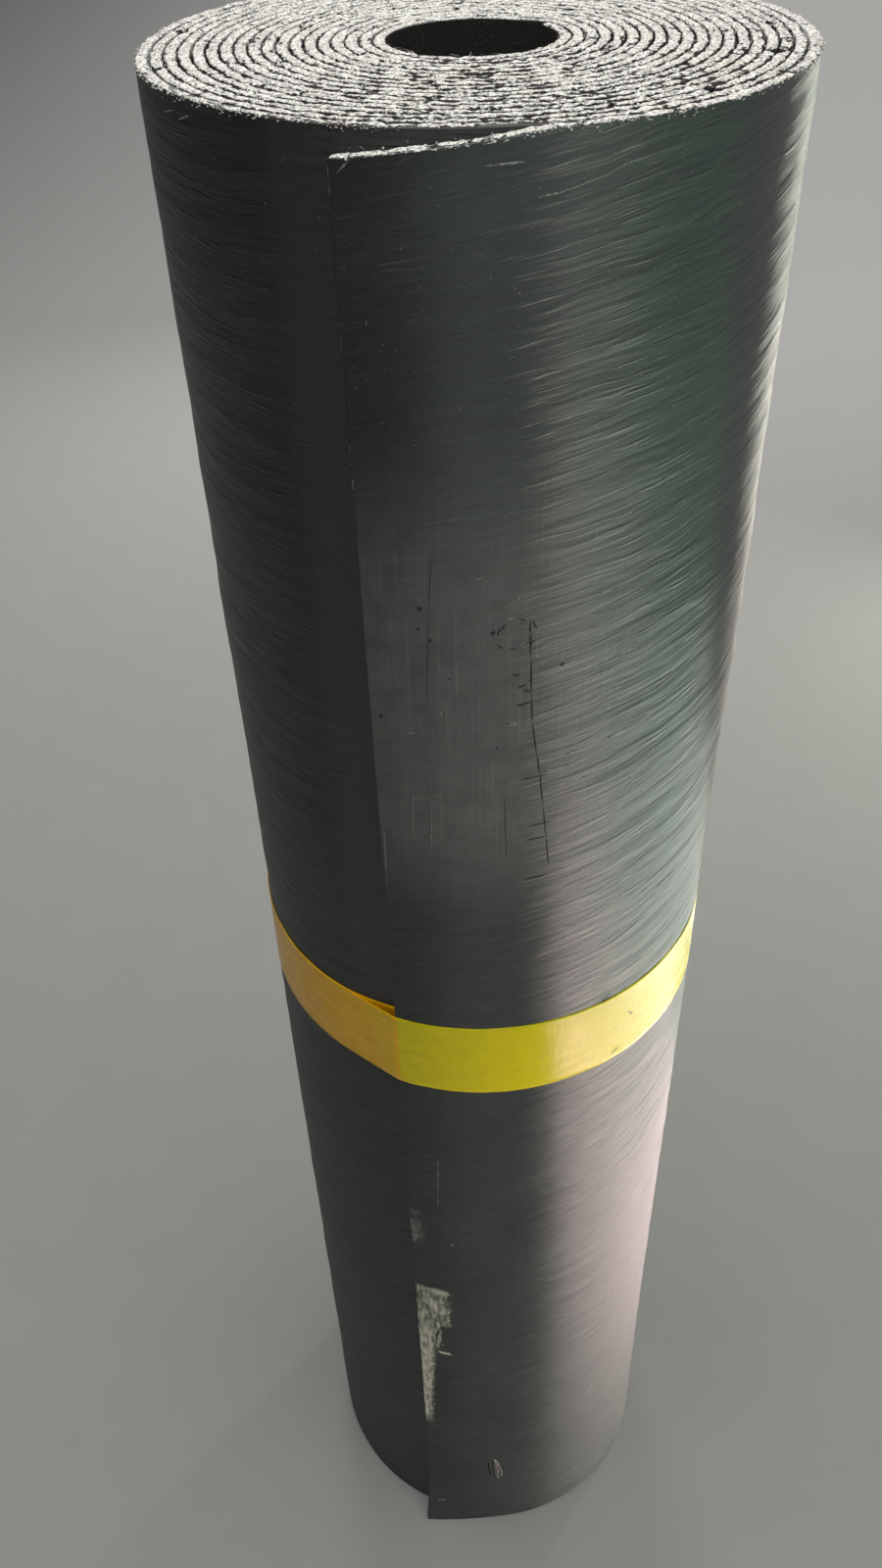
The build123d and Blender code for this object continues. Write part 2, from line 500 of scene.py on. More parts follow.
@dataclass(frozen=True)
class BoreFinish:
    """Sanded underside of the felt, seen only inside the bore: black and matt with grit on it."""

    name: str = "sanded_bitumen_underside"
    black: str = "#322d2b"
    grit: str = "#6f675f"
    grit_mm: tuple = (0.8, 0.8, 0.8)
    grit_depth_mm: float = 0.25
    smear_mm: tuple = (14.0, 14.0, 40.0)

    def build(self) -> bpy.types.Material:
        """Makes the material.

        Returns:
            The material.
        """
        material, tree = new_material(self.name)
        space = add_node(tree, "TexCoord", output="Object")
        grit = stretched_noise(tree, space, self.grit_mm)
        smear = stretched_noise(tree, space, self.smear_mm, 3.0)
        bare = mask(tree, (grit, 0.55, 0.72, 0.0, 0.55), (smear, 0.35, 0.7, 0.25, 1.0))
        finish_surface(tree, {"Base Color": paint(tree, self.black, (bare, self.grit)), "Roughness": 0.8,
                              "Normal": fine_relief(tree, (grit, 0.8, self.grit_depth_mm)),
                              "Specular IOR Level": 0.2})
        return material


@dataclass(frozen=True)
class ScuffAndGlintFinish:
    """Film rubbed white along a scratch, and painted glints: pale, dry, and a little lighter in its middle.
    """

    name: str = "scuffed_and_glinting_film"
    # colours of the scuffs and of the painted glints
    pale: str = "#8b8a86"
    edge: str = "#484746"
    grain_mm: tuple = (1.2, 1.2, 1.2)

    def build(self) -> bpy.types.Material:
        """Makes the material.

        Returns:
            The material.
        """
        material, tree = new_material(self.name)
        space = add_node(tree, "TexCoord", output="Object")
        rubbed_and_reflection = mask(tree, (stretched_noise(tree, space, self.grain_mm), 0.35, 0.62))
        finish_surface(tree, {"Base Color": paint(tree, self.edge, (rubbed_and_reflection, self.pale)), "Roughness": 0.45})
        return material


@dataclass(frozen=True)
class PitFinish:
    """Bare bitumen at the bottom of a small hole in the film: black and half matt."""

    name: str = "bare_bitumen"
    black: str = "#0b0b0c"
    soft: str = "#161515"
    grain_mm: tuple = (0.7, 0.7, 0.7)

    def build(self) -> bpy.types.Material:
        """Makes the material.

        Returns:
            The material.
        """
        material, tree = new_material(self.name)
        space = add_node(tree, "TexCoord", output="Object")
        grain = stretched_noise(tree, space, self.grain_mm, 1.0)
        finish_surface(tree, {"Base Color": paint(tree, self.black, (grain, self.soft)), "Roughness": 0.6})
        return material


@dataclass(frozen=True)
class TapeFinish:
    """Yellow polypropylene packing tape: glossy, thin enough that the black film dulls one layer.

    One layer is olive yellow, two layers are amber, and where air is under it the tape is lighter, partly
    for the air and partly as a painted highlight.
    """

    name: str = "yellow_polypropylene_tape"
    single: str = "#e2cc00"
    double: str = "#ffbc00"
    # lighter colour over air, partly a painted highlight
    airy_and_highlight: str = "#ffc600"
    under: str = "#9a8600"
    mottle_mm: tuple = (14.0, 5.0, 1.0)
    mottle_depth_mm: float = 0.14
    crease_mm: tuple = (2.4, 22.0, 1.0)
    crease_depth_mm: float = 0.16
    pull_mm: tuple = (60.0, 0.9, 1.0)
    pull_depth_mm: float = 0.04
    sheen_stretch: float = 0.70
    across_tape: float = 0.25

    def build(self) -> bpy.types.Material:
        """Makes the material. The attribute layers is 0 on one layer, 1 on two, and 2 over air, where the
        lighter colour is partly a painted highlight.

        Returns:
            The material.
        """
        material, tree = new_material(self.name)
        place = add_node(tree, "UVMap", uv_map=SHEET_UV)
        layers = add_node(tree, "Attribute", output="Fac", attribute_name=LAYERS)
        mottle = stretched_noise(tree, place, self.mottle_mm, 3.0)
        creases = stretched_noise(tree, place, self.crease_mm, 2.0, (3.0, 1.0, 0.0))
        pull = stretched_noise(tree, place, self.pull_mm)
        colour = paint(tree, self.single, (mask(tree, (layers, 0.0, 1.0)), self.double),
                       (mask(tree, (layers, 1.0, 2.0)), self.airy_and_highlight),
                       (mask(tree, (mottle, 0.35, 0.75, 0.0, 0.14)), self.under))
        roughness = mask(tree, (mottle, 0.3, 0.7, 0.24, 0.32))
        normal = fine_relief(tree, (mottle, 0.5, self.mottle_depth_mm), (creases, 0.7, self.crease_depth_mm),
                             (pull, 0.3, self.pull_depth_mm))
        round_roll = add_node(tree, "Tangent", direction_type="UV_MAP", uv_map=SHEET_UV)
        finish_surface(tree, {"Base Color": colour, "Roughness": roughness, "Normal": normal, "IOR": 1.4,
                              "Anisotropic": self.sheen_stretch, "Anisotropic Rotation": self.across_tape,
                              "Tangent": round_roll})
        return material


def outward(vertices: np.ndarray, faces: list) -> list:
    """Turns a closed mesh's faces so that they point outwards.

    The enclosed volume is the sum, over the faces' triangles, of the triple product of their
    corners over six. It is negative where the faces point inwards.

    Args:
        vertices: Points, one to a row.
        faces: Lists of point numbers.

    Returns:
        The faces, reversed if the volume was negative.
    """
    quads = np.array([face for face in faces if len(face) == 4])
    a, b, c, d = (vertices[quads[:, i]] for i in range(4))
    volume = np.einsum("ij,ij->i", a, np.cross(b, c) + np.cross(c, d)).sum()
    return faces if volume > 0 else [face[::-1] for face in faces]


def tube_faces(stations: int, around: int) -> list:
    """Quads of a closed profile carried along an open path, with a cap at each end.

    Args:
        stations: How many times the profile is repeated.
        around: How many points the profile has.

    Returns:
        Lists of point numbers, where point j of station i has the number i * around + j.
    """
    i, j = np.meshgrid(np.arange(stations - 1), np.arange(around), indexing="ij")
    after = (j + 1) % around
    near, far = i * around, (i + 1) * around
    faces = np.stack([near + j, near + after, far + after, far + j], -1).reshape(-1, 4).tolist()
    last = (stations - 1) * around
    faces.append(list(range(around))[::-1])
    faces.append(list(range(last, last + around)))
    return faces


def make_piece(name: str, vertices: np.ndarray, faces: list, material: bpy.types.Material, slot: str,
               smooth: bool = True) -> bpy.types.Object:
    """Makes a mesh object that rides on the roll's body.

    Args:
        name: The piece's name.
        vertices: Points in metres, in the frame's place.
        faces: Lists of point numbers.
        material: The piece's finish.
        slot: The record's material slot; not used.
        smooth: Whether shading is smooth.

    Returns:
        The new object.
    """
    mesh = bpy.data.meshes.new(name)
    mesh.from_pydata(vertices.reshape(-1, 3), [], faces)
    mesh.materials.append(material)
    mesh.polygons.foreach_set("use_smooth", np.full(len(mesh.polygons), smooth))
    mesh.update()
    piece = bpy.data.objects.new(name, mesh)
    bpy.context.scene.collection.objects.link(piece)
    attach(piece, BODY)
    triangles = sum(len(face) - 2 for face in faces)
    LOG.info("%s: %d points, %d triangles", name, len(mesh.vertices), triangles)
    return piece


def write_uv(piece: bpy.types.Object, along: np.ndarray, up: np.ndarray) -> None:
    """Gives a piece a UV map in metres.

    Args:
        piece: The piece.
        along: Each point's first coordinate.
        up: Each point's second coordinate.
    """
    mesh = piece.data
    corners = np.empty(len(mesh.loops), int)
    mesh.loops.foreach_get("vertex_index", corners)
    both = np.stack([along.ravel(), up.ravel()], -1)[corners]
    mesh.uv_layers.new(name=SHEET_UV).data.foreach_set("uv", both.ravel())


def write_values(piece: bpy.types.Object, name: str, values: np.ndarray) -> None:
    """Gives a piece a value at each point.

    Args:
        piece: The piece.
        name: The attribute's name.
        values: One value for each point.
    """
    attribute = piece.data.attributes.new(name, "FLOAT", "POINT")
    attribute.data.foreach_set("value", values.ravel().astype(np.float32))


@dataclass
class Sheet:
    """The wound sheet: where any point of it lies once it is rolled up."""

    height: float
    bore_radius: float = 30 * MM
    thickness: float = 4.5 * MM
    slack: float = 0.15 * MM
    turns: float = 18.4
    loose_end: float = math.radians(-110.5)
    corner_drop: float = 8 * MM
    corner_run: float = 66 * MM
    spring_out: float = 11 * MM
    spring_run: float = 60 * MM
    spring_height: float = 120 * MM
    wedge: float = math.radians(30.0)
    settle_laps: float = 17.0
    waist: float = 0.9 * MM
    waist_height: float = 640 * MM
    waist_reach: float = 110 * MM
    fold_margin: float = 14 * MM
    foot_slack: float = 2.2 * MM
    foot_slack_height: float = 230 * MM
    foot_slack_azimuth: float = math.radians(-25.0)
    foot_slack_reach: float = math.radians(50.0)
    fine_steps: int = 40000
    pitch: float = field(init=False)
    radius_out: float = field(init=False)
    inner_end: float = field(init=False)
    folds: list = field(init=False)

    def __post_init__(self) -> None:
        """Works out the spiral and draws the film's folds."""
        self.pitch = self.thickness + self.slack
        self.radius_out = self.bore_radius + self.pitch * (self.turns + 1)
        self.inner_end = self.turns * 2 * math.pi
        self.folds = [(SmoothNoise(11, 105 * MM, 8.5 * MM), 0.17 * MM),
                      (SmoothNoise(12, 48 * MM, 3.6 * MM), 0.07 * MM),
                      (SmoothNoise(13, 160 * MM, 34 * MM), 0.25 * MM)]

    def radius(self, turn: np.ndarray) -> np.ndarray:
        """The sheet's outer side: the radius falls evenly with the winding angle.

        The first lap on the mandrel is round, and the laps over it step up one pitch within the
        wedge beside the sheet's inner end. This fades out over the laps that settle it.

        Args:
            turn: Winding angles.

        Returns:
            Radii of the outer side.
        """
        even = self.radius_out - self.pitch * turn / (2 * math.pi)
        laps = (self.inner_end - turn) / (2 * math.pi)
        part = laps - np.floor(laps)
        step = ease((part - 1) * 2 * math.pi / self.wedge + 1)
        share = np.clip(1 - laps / self.settle_laps, 0.0, 1.0)
        return even - share * self.pitch * (part - step)

    def top(self, turn: np.ndarray) -> np.ndarray:
        """The sheet's upper edge, which slopes down to the corner of its loose end."""
        return self.height - self.corner_drop * np.clip(1 - turn * self.radius_out / self.corner_run, 0, 1)

    def spring(self, turn: np.ndarray, up: np.ndarray) -> tuple[np.ndarray, np.ndarray]:
        """How far the foot corner has sprung off the roll, and how far it leans.

        The lift is the square of the share of height left to the spring's top, times the square
        of the share of the run that is left.

        Args:
            turn: Winding angles.
            up: Heights.

        Returns:
            The lift outwards and the lean as an angle.
        """
        part = np.clip(1 - turn * self.radius_out / self.spring_run, 0, 1)
        lift = self.spring_out * np.clip(1 - up / self.spring_height, 0, 1) ** 2
        return lift * part ** 2, np.arctan(2 * lift * part / self.spring_run)

    def slackness(self, turn: np.ndarray, up: np.ndarray) -> np.ndarray:
        """The outer lap's departure from round: drawn in at the waist, and loose at the right foot.

        Args:
            turn: Winding angles.
            up: Heights.

        Returns:
            The distance outwards.
        """
        outer = np.exp(-np.clip(turn - 2 * math.pi, 0, None) / math.pi)
        waist = self.waist * np.exp(-((up - self.waist_height) / self.waist_reach) ** 2)
        azimuth = self.loose_end + turn
        side = np.exp(-((azimuth - self.foot_slack_azimuth) / self.foot_slack_reach) ** 2)
        foot = self.foot_slack * side * np.clip(1 - up / self.foot_slack_height, 0, 1) ** 2
        return outer * (foot - waist)

    def film_folds(self, turn: np.ndarray, up: np.ndarray) -> np.ndarray:
        """The film's folds round the roll: three smooth fields that fade out at both edges.

        Args:
            turn: Winding angles.
            up: Heights.

        Returns:
            The distance outwards.
        """
        along = turn * self.radius_out
        room = ease(up / self.fold_margin) * ease((self.top(turn) - up) / self.fold_margin)
        return room * sum(depth * noise(along, up) for noise, depth in self.folds)

    def place(self, turn: np.ndarray, inward: np.ndarray, up: np.ndarray,
              proud: np.ndarray = 0.0) -> np.ndarray:
        """A point of the sheet, once it is rolled up.

        Args:
            turn: Winding angle.
            inward: Depth below the outer side.
            up: Height.
            proud: Extra distance outwards.

        Returns:
            Points, with their three coordinates last.
        """
        turn, inward, up, proud = np.broadcast_arrays(turn, inward, up, proud)
        lift, lean = self.spring(turn, up)
        radius = self.radius(turn) + lift + self.slackness(turn, up) - inward + proud
        azimuth = self.loose_end + turn - inward * np.sin(lean) / self.radius_out
        return np.stack([radius * np.cos(azimuth), radius * np.sin(azimuth), up], -1)

    def stations(self, first: float, last: float, spacing: float) -> np.ndarray:
        """Winding angles that are evenly spaced along the sheet.

        Args:
            first: The first winding angle.
            last: The last winding angle.
            spacing: The distance between two of them.

        Returns:
            The winding angles.
        """
        turn = np.linspace(first, last, self.fine_steps)
        radius = self.radius(turn)
        run = np.concatenate([[0.0], np.cumsum((radius[1:] + radius[:-1]) / 2 * np.diff(turn))])
        return np.interp(np.linspace(0.0, run[-1], int(run[-1] / spacing)), run, turn)


class Side(Enum):
    """Which side of a lap shows, and so gets the fine grid."""

    FILM = "film side"
    BORE = "bore side"


@dataclass
class Lap:
    """One lap of the sheet as a closed wall: the outermost one, or the one round the bore."""

    sheet: Sheet
    name: str
    side: Side
    first_turn: float
    last_turn: float
    spacing: float
    rows: int
    fold_scale: float = 1.0
    edge_room: float = 1.1 * MM
    edge_cell: float = 0.3 * MM
    plain_shares: tuple = (0.0, 0.03, 0.06, 0.09, 0.12, 0.5, 1.0)

    def with_edges(self, values: np.ndarray, inset: float) -> np.ndarray:
        """Adds a value just inside each end, so that smooth shading rounds only the very edge."""
        parts = (values[:1], [values[0] + inset], values[1:-1], [values[-1] - inset], values[-1:])
        return np.concatenate(parts)

    def build(self, finish: bpy.types.Material) -> bpy.types.Object:
        """Carries an upright profile along the lap: up its fine side and down its plain side.

        Args:
            finish: The lap's material.

        Returns:
            The piece.
        """
        sheet = self.sheet
        turn = sheet.stations(self.first_turn, self.last_turn, self.spacing)
        turn = self.with_edges(turn, self.edge_cell / sheet.radius_out)[:, None]
        fine = self.with_edges(np.linspace(0.0, 1.0, self.rows), self.edge_cell / sheet.height)
        plain = np.array(self.plain_shares)[::-1]
        share = np.concatenate([fine, plain])[None, :]
        up = self.edge_room + share * (sheet.top(turn) - 2 * self.edge_room)
        on_fine = np.concatenate([np.ones(len(fine)), np.zeros(len(plain))])[None, :]
        under = 1 - on_fine if self.side is Side.FILM else on_fine
        folds = on_fine * sheet.film_folds(turn, up) * self.fold_scale
        points = sheet.place(turn, under * sheet.thickness, up, folds)
        faces = outward(points.reshape(-1, 3), tube_faces(len(turn), share.shape[1]))
        piece = make_piece(self.name, points, faces, finish, "bitumen_felt")
        write_uv(piece, np.broadcast_to(turn * sheet.radius_out, up.shape), up)
        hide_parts("felt_roll")
        return piece


class End(Enum):
    """Which edge of the sheet is torn: the upper one or the one at the foot."""

    TOP = "upper end"
    FOOT = "foot end"


@dataclass
class TornEnd:
    """One end of the roll: the torn edge of every lap, as a closed strip wound in a spiral.

    A pit is its radius in millimetres, its azimuth in degrees and its size in millimetres. The
    open gap, behind the loose end, is its winding angle, its reach and its depth.
    """

    sheet: Sheet
    name: str
    end: End
    spacing: float
    seed: int
    skirt: float = 4.2 * MM
    crest: float = 0.60
    shoulder: float = 1.5 * MM
    front_shoulder: float = 0.8
    rim_shoulder: float = 0.3
    ragged: float = 0.8
    relief: float = 0.50 * MM
    proudest: float = 1.1 * MM
    top_room: float = 0.7 * MM
    foot_room: float = 0.9 * MM
    film_room: float = 0.16 * MM
    both_rooms: float = 0.3 * MM
    wander: float = 0.32 * MM
    open_gap: tuple = (math.radians(384.9), math.radians(3.4), 2.4 * MM)
    pits: tuple = ((107.0, -48.0, 2.6), (42.7, -8.0, 2.0), (105.0, -18.0, 2.2), (106.0, 5.0, 2.2),
                   (110.5, -162.0, 2.4), (108.0, 168.0, 2.4))
    pit_depth: float = 2.0 * MM
    # The edge is painted darker the lower it lies, partly for the black bitumen in the gaps and partly as
    # painted shade; it is painted darker at the roll's front as painted shade and lighter on its left as
    # painted light.
    dark_level: float = 0.42 * MM
    pale_level: float = 0.06 * MM
    front_painted_shade: float = 0.22
    left_painted_light: float = 0.10
    across: tuple = (0.0, 0.02, 0.10, 0.22, 0.38, 0.54, 0.70, 0.84, 0.95, 1.0)

    def relief_at(self, run: np.ndarray, across: np.ndarray) -> np.ndarray:
        """The torn edge's relief: coarse tufts along the edge, crumbs, grit, and scattered holes.

        Args:
            run: Distance along the sheet.
            across: Share of the thickness, 0 on the film side.

        Returns:
            Heights from about -1 to 1, as shares of the relief, and far lower in the holes.
        """
        depth = across * self.sheet.thickness
        tufts = SmoothNoise(self.seed, 5.5 * MM, 9.0 * MM)(run, depth)
        crumbs = SmoothNoise(self.seed + 1, 2.6 * MM, 1.7 * MM)(run, depth)
        grit = SmoothNoise(self.seed + 2, 1.2 * MM, 0.9 * MM)(run, depth)
        height = 0.45 * tufts + 0.60 * crumbs + 0.36 * grit
        holes = np.clip(-0.76 - SmoothNoise(self.seed + 3, 3.4 * MM, 3.0 * MM)(run, depth), 0, None)
        return height - 12.0 * holes

    def pitted(self, turn: np.ndarray, radius: np.ndarray) -> np.ndarray:
        """The torn-out pits: each one's depth times e to the minus fourth power of the distance from it.

        Args:
            turn: Winding angles.
            radius: Distances from the axis.

        Returns:
            How deep the pits are.
        """
        azimuth = self.sheet.loose_end + turn
        depth = np.zeros(np.broadcast_shapes(turn.shape, radius.shape))
        for pit_radius, pit_azimuth, size in self.pits:
            x = radius * np.cos(azimuth) - pit_radius * MM * math.cos(math.radians(pit_azimuth))
            y = radius * np.sin(azimuth) - pit_radius * MM * math.sin(math.radians(pit_azimuth))
            depth += self.pit_depth * np.exp(-(np.hypot(x, y) / (size * MM)) ** 4)
        return depth

    def facing_front(self, turn: np.ndarray) -> np.ndarray:
        """How squarely a place faces the front: a share, to the power of 1.5."""
        return np.clip(-np.sin(self.sheet.loose_end + turn), 0.0, 1.0) ** 1.5

    def fall_at(self, turn: np.ndarray, across: np.ndarray) -> np.ndarray:
        """How far the ridge has fallen towards the gap beside it.

        The fall is the seventh power of the distance from the ridge's crest. At the roll's front,
        where the bitumen has drawn back from the film, it is the third power on that side.

        Args:
            turn: Winding angles.
            across: Share of the thickness, 0 on the film side.

        Returns:
            0 on the crest and 1 at both sides.
        """
        on_film_side = across < self.crest
        flank = np.where(on_film_side, 1 - across / self.crest, (across - self.crest) / (1 - self.crest))
        return flank ** (7.0 - 4.0 * self.facing_front(turn) * on_film_side)

    def level_at(self, turn: np.ndarray, run: np.ndarray, across: np.ndarray,
                 fall: np.ndarray) -> np.ndarray:
        """The torn edge's height over the sheet's straight edge.

        It is the relief, less the ridge's rounding, the open gap and the pits. The rounding is the
        fall times a depth, which is greater at the front, small on the rim, and uneven along the
        lap, so that the gaps are ragged.

        Args:
            turn: Winding angles.
            run: Distance along the sheet.
            across: Share of the thickness, 0 on the film side.
            fall: How far the ridge has fallen there.

        Returns:
            Heights.
        """
        on_rim = ease(2.0 - turn / math.pi) * (across < 0.5)
        rounding = self.shoulder * (0.5 + self.front_shoulder * self.facing_front(turn)) * fall
        rounding = rounding * (1 - (1 - self.rim_shoulder) * on_rim)
        side = np.where(across < self.crest, 0.0, 5.0)
        rounding = rounding * (1 + self.ragged * SmoothNoise(self.seed + 6, 3.8 * MM, 1.0)(run, side))
        level = self.relief_at(run, across) * self.relief * (1 - 0.5 * fall) - rounding
        if self.end is End.TOP:
            centre, reach, depth = self.open_gap
            level = level - depth * np.exp(-((turn - centre) / reach) ** 4) * (across < 0.6)
            level = level - self.pitted(turn, self.sheet.radius(turn) - across * self.sheet.thickness)
        return np.minimum(level, self.proudest)

    def build(self, finish: bpy.types.Material) -> bpy.types.Object:
        """Carries the torn profile along the whole spiral.

        The profile goes up the film side's skirt, over the ridge, which is rounded down to the gap
        at both sides, and down the other skirt.

        Args:
            finish: The torn edge's material.

        Returns:
            The piece.
        """
        sheet = self.sheet
        turn = sheet.stations(0.0, sheet.inner_end, self.spacing)[:, None]
        across = np.array(self.across)[None, :]
        radius = sheet.radius(turn)
        run = turn * radius
        run[1:] = np.cumsum(np.diff(turn, axis=0) * radius[1:], axis=0)
        fall = self.fall_at(turn, across)
        level = self.level_at(turn, run, across, fall)
        level[:, [0, -1]] = -self.skirt
        wander = self.wander * SmoothNoise(self.seed + 5, 2.6 * MM, 1.0)(run, across * 7.3)
        inward = self.film_room + across * (sheet.thickness - self.both_rooms) + wander * (1 - fall)
        if self.end is End.TOP:
            up = sheet.top(turn) - self.top_room + level
        else:
            up = np.maximum(self.foot_room - level, 0.0)
        points = sheet.place(turn, inward, up)
        faces = outward(points.reshape(-1, 3), tube_faces(len(turn), across.shape[1]))
        piece = make_piece(self.name, points, faces, finish, "bitumen_felt", smooth=False)
        # painted shade: the lower the edge lies, the darker it is painted, partly for the bitumen in the
        # gaps; painted shade at the front and painted light on the left
        shade = np.clip(1.0 + (level + self.pale_level) / self.dark_level, 0.0, 1.0)
        left = np.clip(-np.cos(sheet.loose_end + turn), 0.0, 1.0)
        shade = shade - self.front_painted_shade * self.facing_front(turn) + self.left_painted_light * left
        write_values(piece, SHADE, shade)
        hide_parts("felt_roll")
        return piece


@dataclass
class LooseEdge:
    """The cut face of the loose end: a crumbly strip from the foot to the dropped corner."""

    sheet: Sheet
    name: str = "loose_end_edge"
    spacing: float = 1.6 * MM
    seed: int = 71
    paler_from: float = 900 * MM
    paler_run: float = 70 * MM
    lumps: float = 0.22 * MM
    grit: float = 0.12 * MM
    proud: float = 0.12 * MM
    skirt: float = 1.5 * MM
    foot_room: float = 1.0 * MM
    top_room: float = 0.9 * MM
    film_room: float = 0.45 * MM
    both_rooms: float = 0.7 * MM
    across: tuple = (0.0, 0.0, 0.12, 0.3, 0.5, 0.7, 0.88, 1.0, 1.0)

    def build(self, finish: bpy.types.Material) -> bpy.types.Object:
        """Carries a rough profile up the loose end, just proud of the lap's flat cut.

        Args:
            finish: The torn edge's material.

        Returns:
            The piece.
        """
        sheet = self.sheet
        top = float(sheet.top(np.array(0.0)))
        up = np.linspace(self.foot_room, top - self.top_room, int(top / self.spacing))[:, None]
        across = np.array(self.across)[None, :]
        depth = across * sheet.thickness
        rough = self.lumps * SmoothNoise(self.seed, 3.0 * MM, 1.6 * MM)(up, depth)
        rough = rough + self.grit * SmoothNoise(self.seed + 1, 1.7 * MM, 0.9 * MM)(up, depth)
        ahead = self.proud + rough
        ahead[:, [0, -1]] = -self.skirt
        inward = self.film_room + across * (sheet.thickness - self.both_rooms)
        points = sheet.place(-ahead / sheet.radius_out, inward, up)
        faces = outward(points.reshape(-1, 3), tube_faces(len(up), across.shape[1]))
        piece = make_piece(self.name, points, faces, finish, "bitumen_felt", smooth=False)
        # painted shade: the strip is painted darker where it lies lower and towards the film side; it is
        # paler from 900 mm up
        paler_top = 0.10 + 0.25 * ease((up - self.paler_from) / self.paler_run)
        write_values(piece, SHADE, np.clip(paler_top + rough / (0.5 * MM) + 0.2 * across, 0.0, 1.0))
        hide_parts("felt_roll")
        return piece


@dataclass
class Crumbs:
    """Torn crumbs and tufts that stand on the upper end, as many small uneven lumps in one mesh.

    The first of them hang on the rim instead, and hang less far near the loose end, which was cut clean.
    """

    sheet: Sheet
    name: str = "edge_crumbs"
    count: int = 4600
    rim_count: int = 1500
    rim_hang: float = 0.75 * MM
    clean_cut: float = 0.7
    seed: int = 31
    size: tuple = (0.5 * MM, 1.35 * MM)
    corners: int = 12

    def lump(self) -> tuple[np.ndarray, np.ndarray]:
        """A twenty-sided lump: corners on the unit sphere, and a face between any three that are near.

        Returns:
            The corners, and the faces, which point outwards.
        """
        golden = (1 + math.sqrt(5)) / 2
        corner = np.array([(-1, golden, 0), (1, golden, 0), (-1, -golden, 0), (1, -golden, 0),
                           (0, -1, golden), (0, 1, golden), (0, -1, -golden), (0, 1, -golden),
                           (golden, 0, -1), (golden, 0, 1), (-golden, 0, -1), (-golden, 0, 1)])
        corner = corner / np.linalg.norm(corner[0])
        gap = np.linalg.norm(corner[:, None] - corner[None, :], axis=-1)
        near = (gap > 0.1) & (gap < 1.2)
        faces = np.array([three for three in combinations(range(self.corners), 3)
                          if all(near[pair] for pair in combinations(three, 2))])
        a, b, c = (corner[faces[:, i]] for i in range(3))
        inwards = np.einsum("ij,ij->i", np.cross(b - a, c - a), a) < 0
        faces[inwards] = faces[inwards, ::-1]
        return corner, faces

    def scatter(self, draw: np.random.Generator) -> tuple[np.ndarray, np.ndarray, np.ndarray]:
        """Chooses a place and a size for each lump, evenly over the end and along the rim.

        Args:
            draw: The source of the random draws.

        Returns:
            The winding angles, the centres and the sizes.
        """
        sheet = self.sheet
        turn = sheet.inner_end * (1 - np.sqrt(draw.uniform(0.0, 1.0, self.count)))
        turn = np.maximum(turn, 0.01)
        across = draw.uniform(0.0, 1.04, self.count)
        size = draw.uniform(*self.size, self.count) * (0.6 + 0.4 * draw.uniform(0, 1, self.count))
        up = sheet.top(turn) - 0.75 * MM + draw.uniform(-0.5, 0.9, self.count) * 0.55 * MM
        on_rim = np.arange(self.count) < self.rim_count
        turn = np.where(on_rim, draw.uniform(0.01, 2.06 * math.pi, self.count), turn)
        across = np.where(on_rim, draw.uniform(-0.06, 0.16, self.count), across)
        hang = np.abs(draw.normal(0.0, 1.0, self.count)) * (0.2 + 0.8 * ease(turn / self.clean_cut))
        up = np.where(on_rim, sheet.top(turn) - 0.9 * MM - hang * self.rim_hang, up)
        return turn, sheet.place(turn, across * sheet.thickness, up), size

    def build(self, finish: bpy.types.Material) -> bpy.types.Object:
        """Stretches each lump along the lap and dents it at random.

        Args:
            finish: The torn edge's material.

        Returns:
            The piece.
        """
        draw = np.random.default_rng(self.seed)
        corner, faces = self.lump()
        turn, centre, size = self.scatter(draw)
        azimuth = self.sheet.loose_end + turn + draw.normal(0.0, 0.5, self.count)
        level = np.zeros(self.count)
        along = np.stack([-np.sin(azimuth), np.cos(azimuth), level], -1)
        out = np.stack([np.cos(azimuth), np.sin(azimuth), level], -1)
        dented = corner[None] * draw.uniform(0.55, 1.15, (self.count, self.corners, 1))
        stretch = np.stack([draw.uniform(0.8, 1.9, self.count), draw.uniform(0.45, 0.9, self.count),
                            draw.uniform(0.4, 0.9, self.count)], -1) * size[:, None] / 2
        local = dented * stretch[:, None, :]
        points = (centre[:, None] + local[..., :1] * along[:, None] + local[..., 1:2] * out[:, None]
                  + local[..., 2:] * np.array([0.0, 0.0, 1.0]))
        first_corner = self.corners * np.arange(self.count)[:, None, None]
        all_faces = (faces[None] + first_corner).reshape(-1, 3).tolist()
        piece = make_piece(self.name, points, all_faces, finish, "bitumen_felt", smooth=False)
        write_values(piece, SHADE, np.repeat(draw.uniform(0.55, 1.1, self.count), self.corners))
        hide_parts("felt_roll")
        return piece


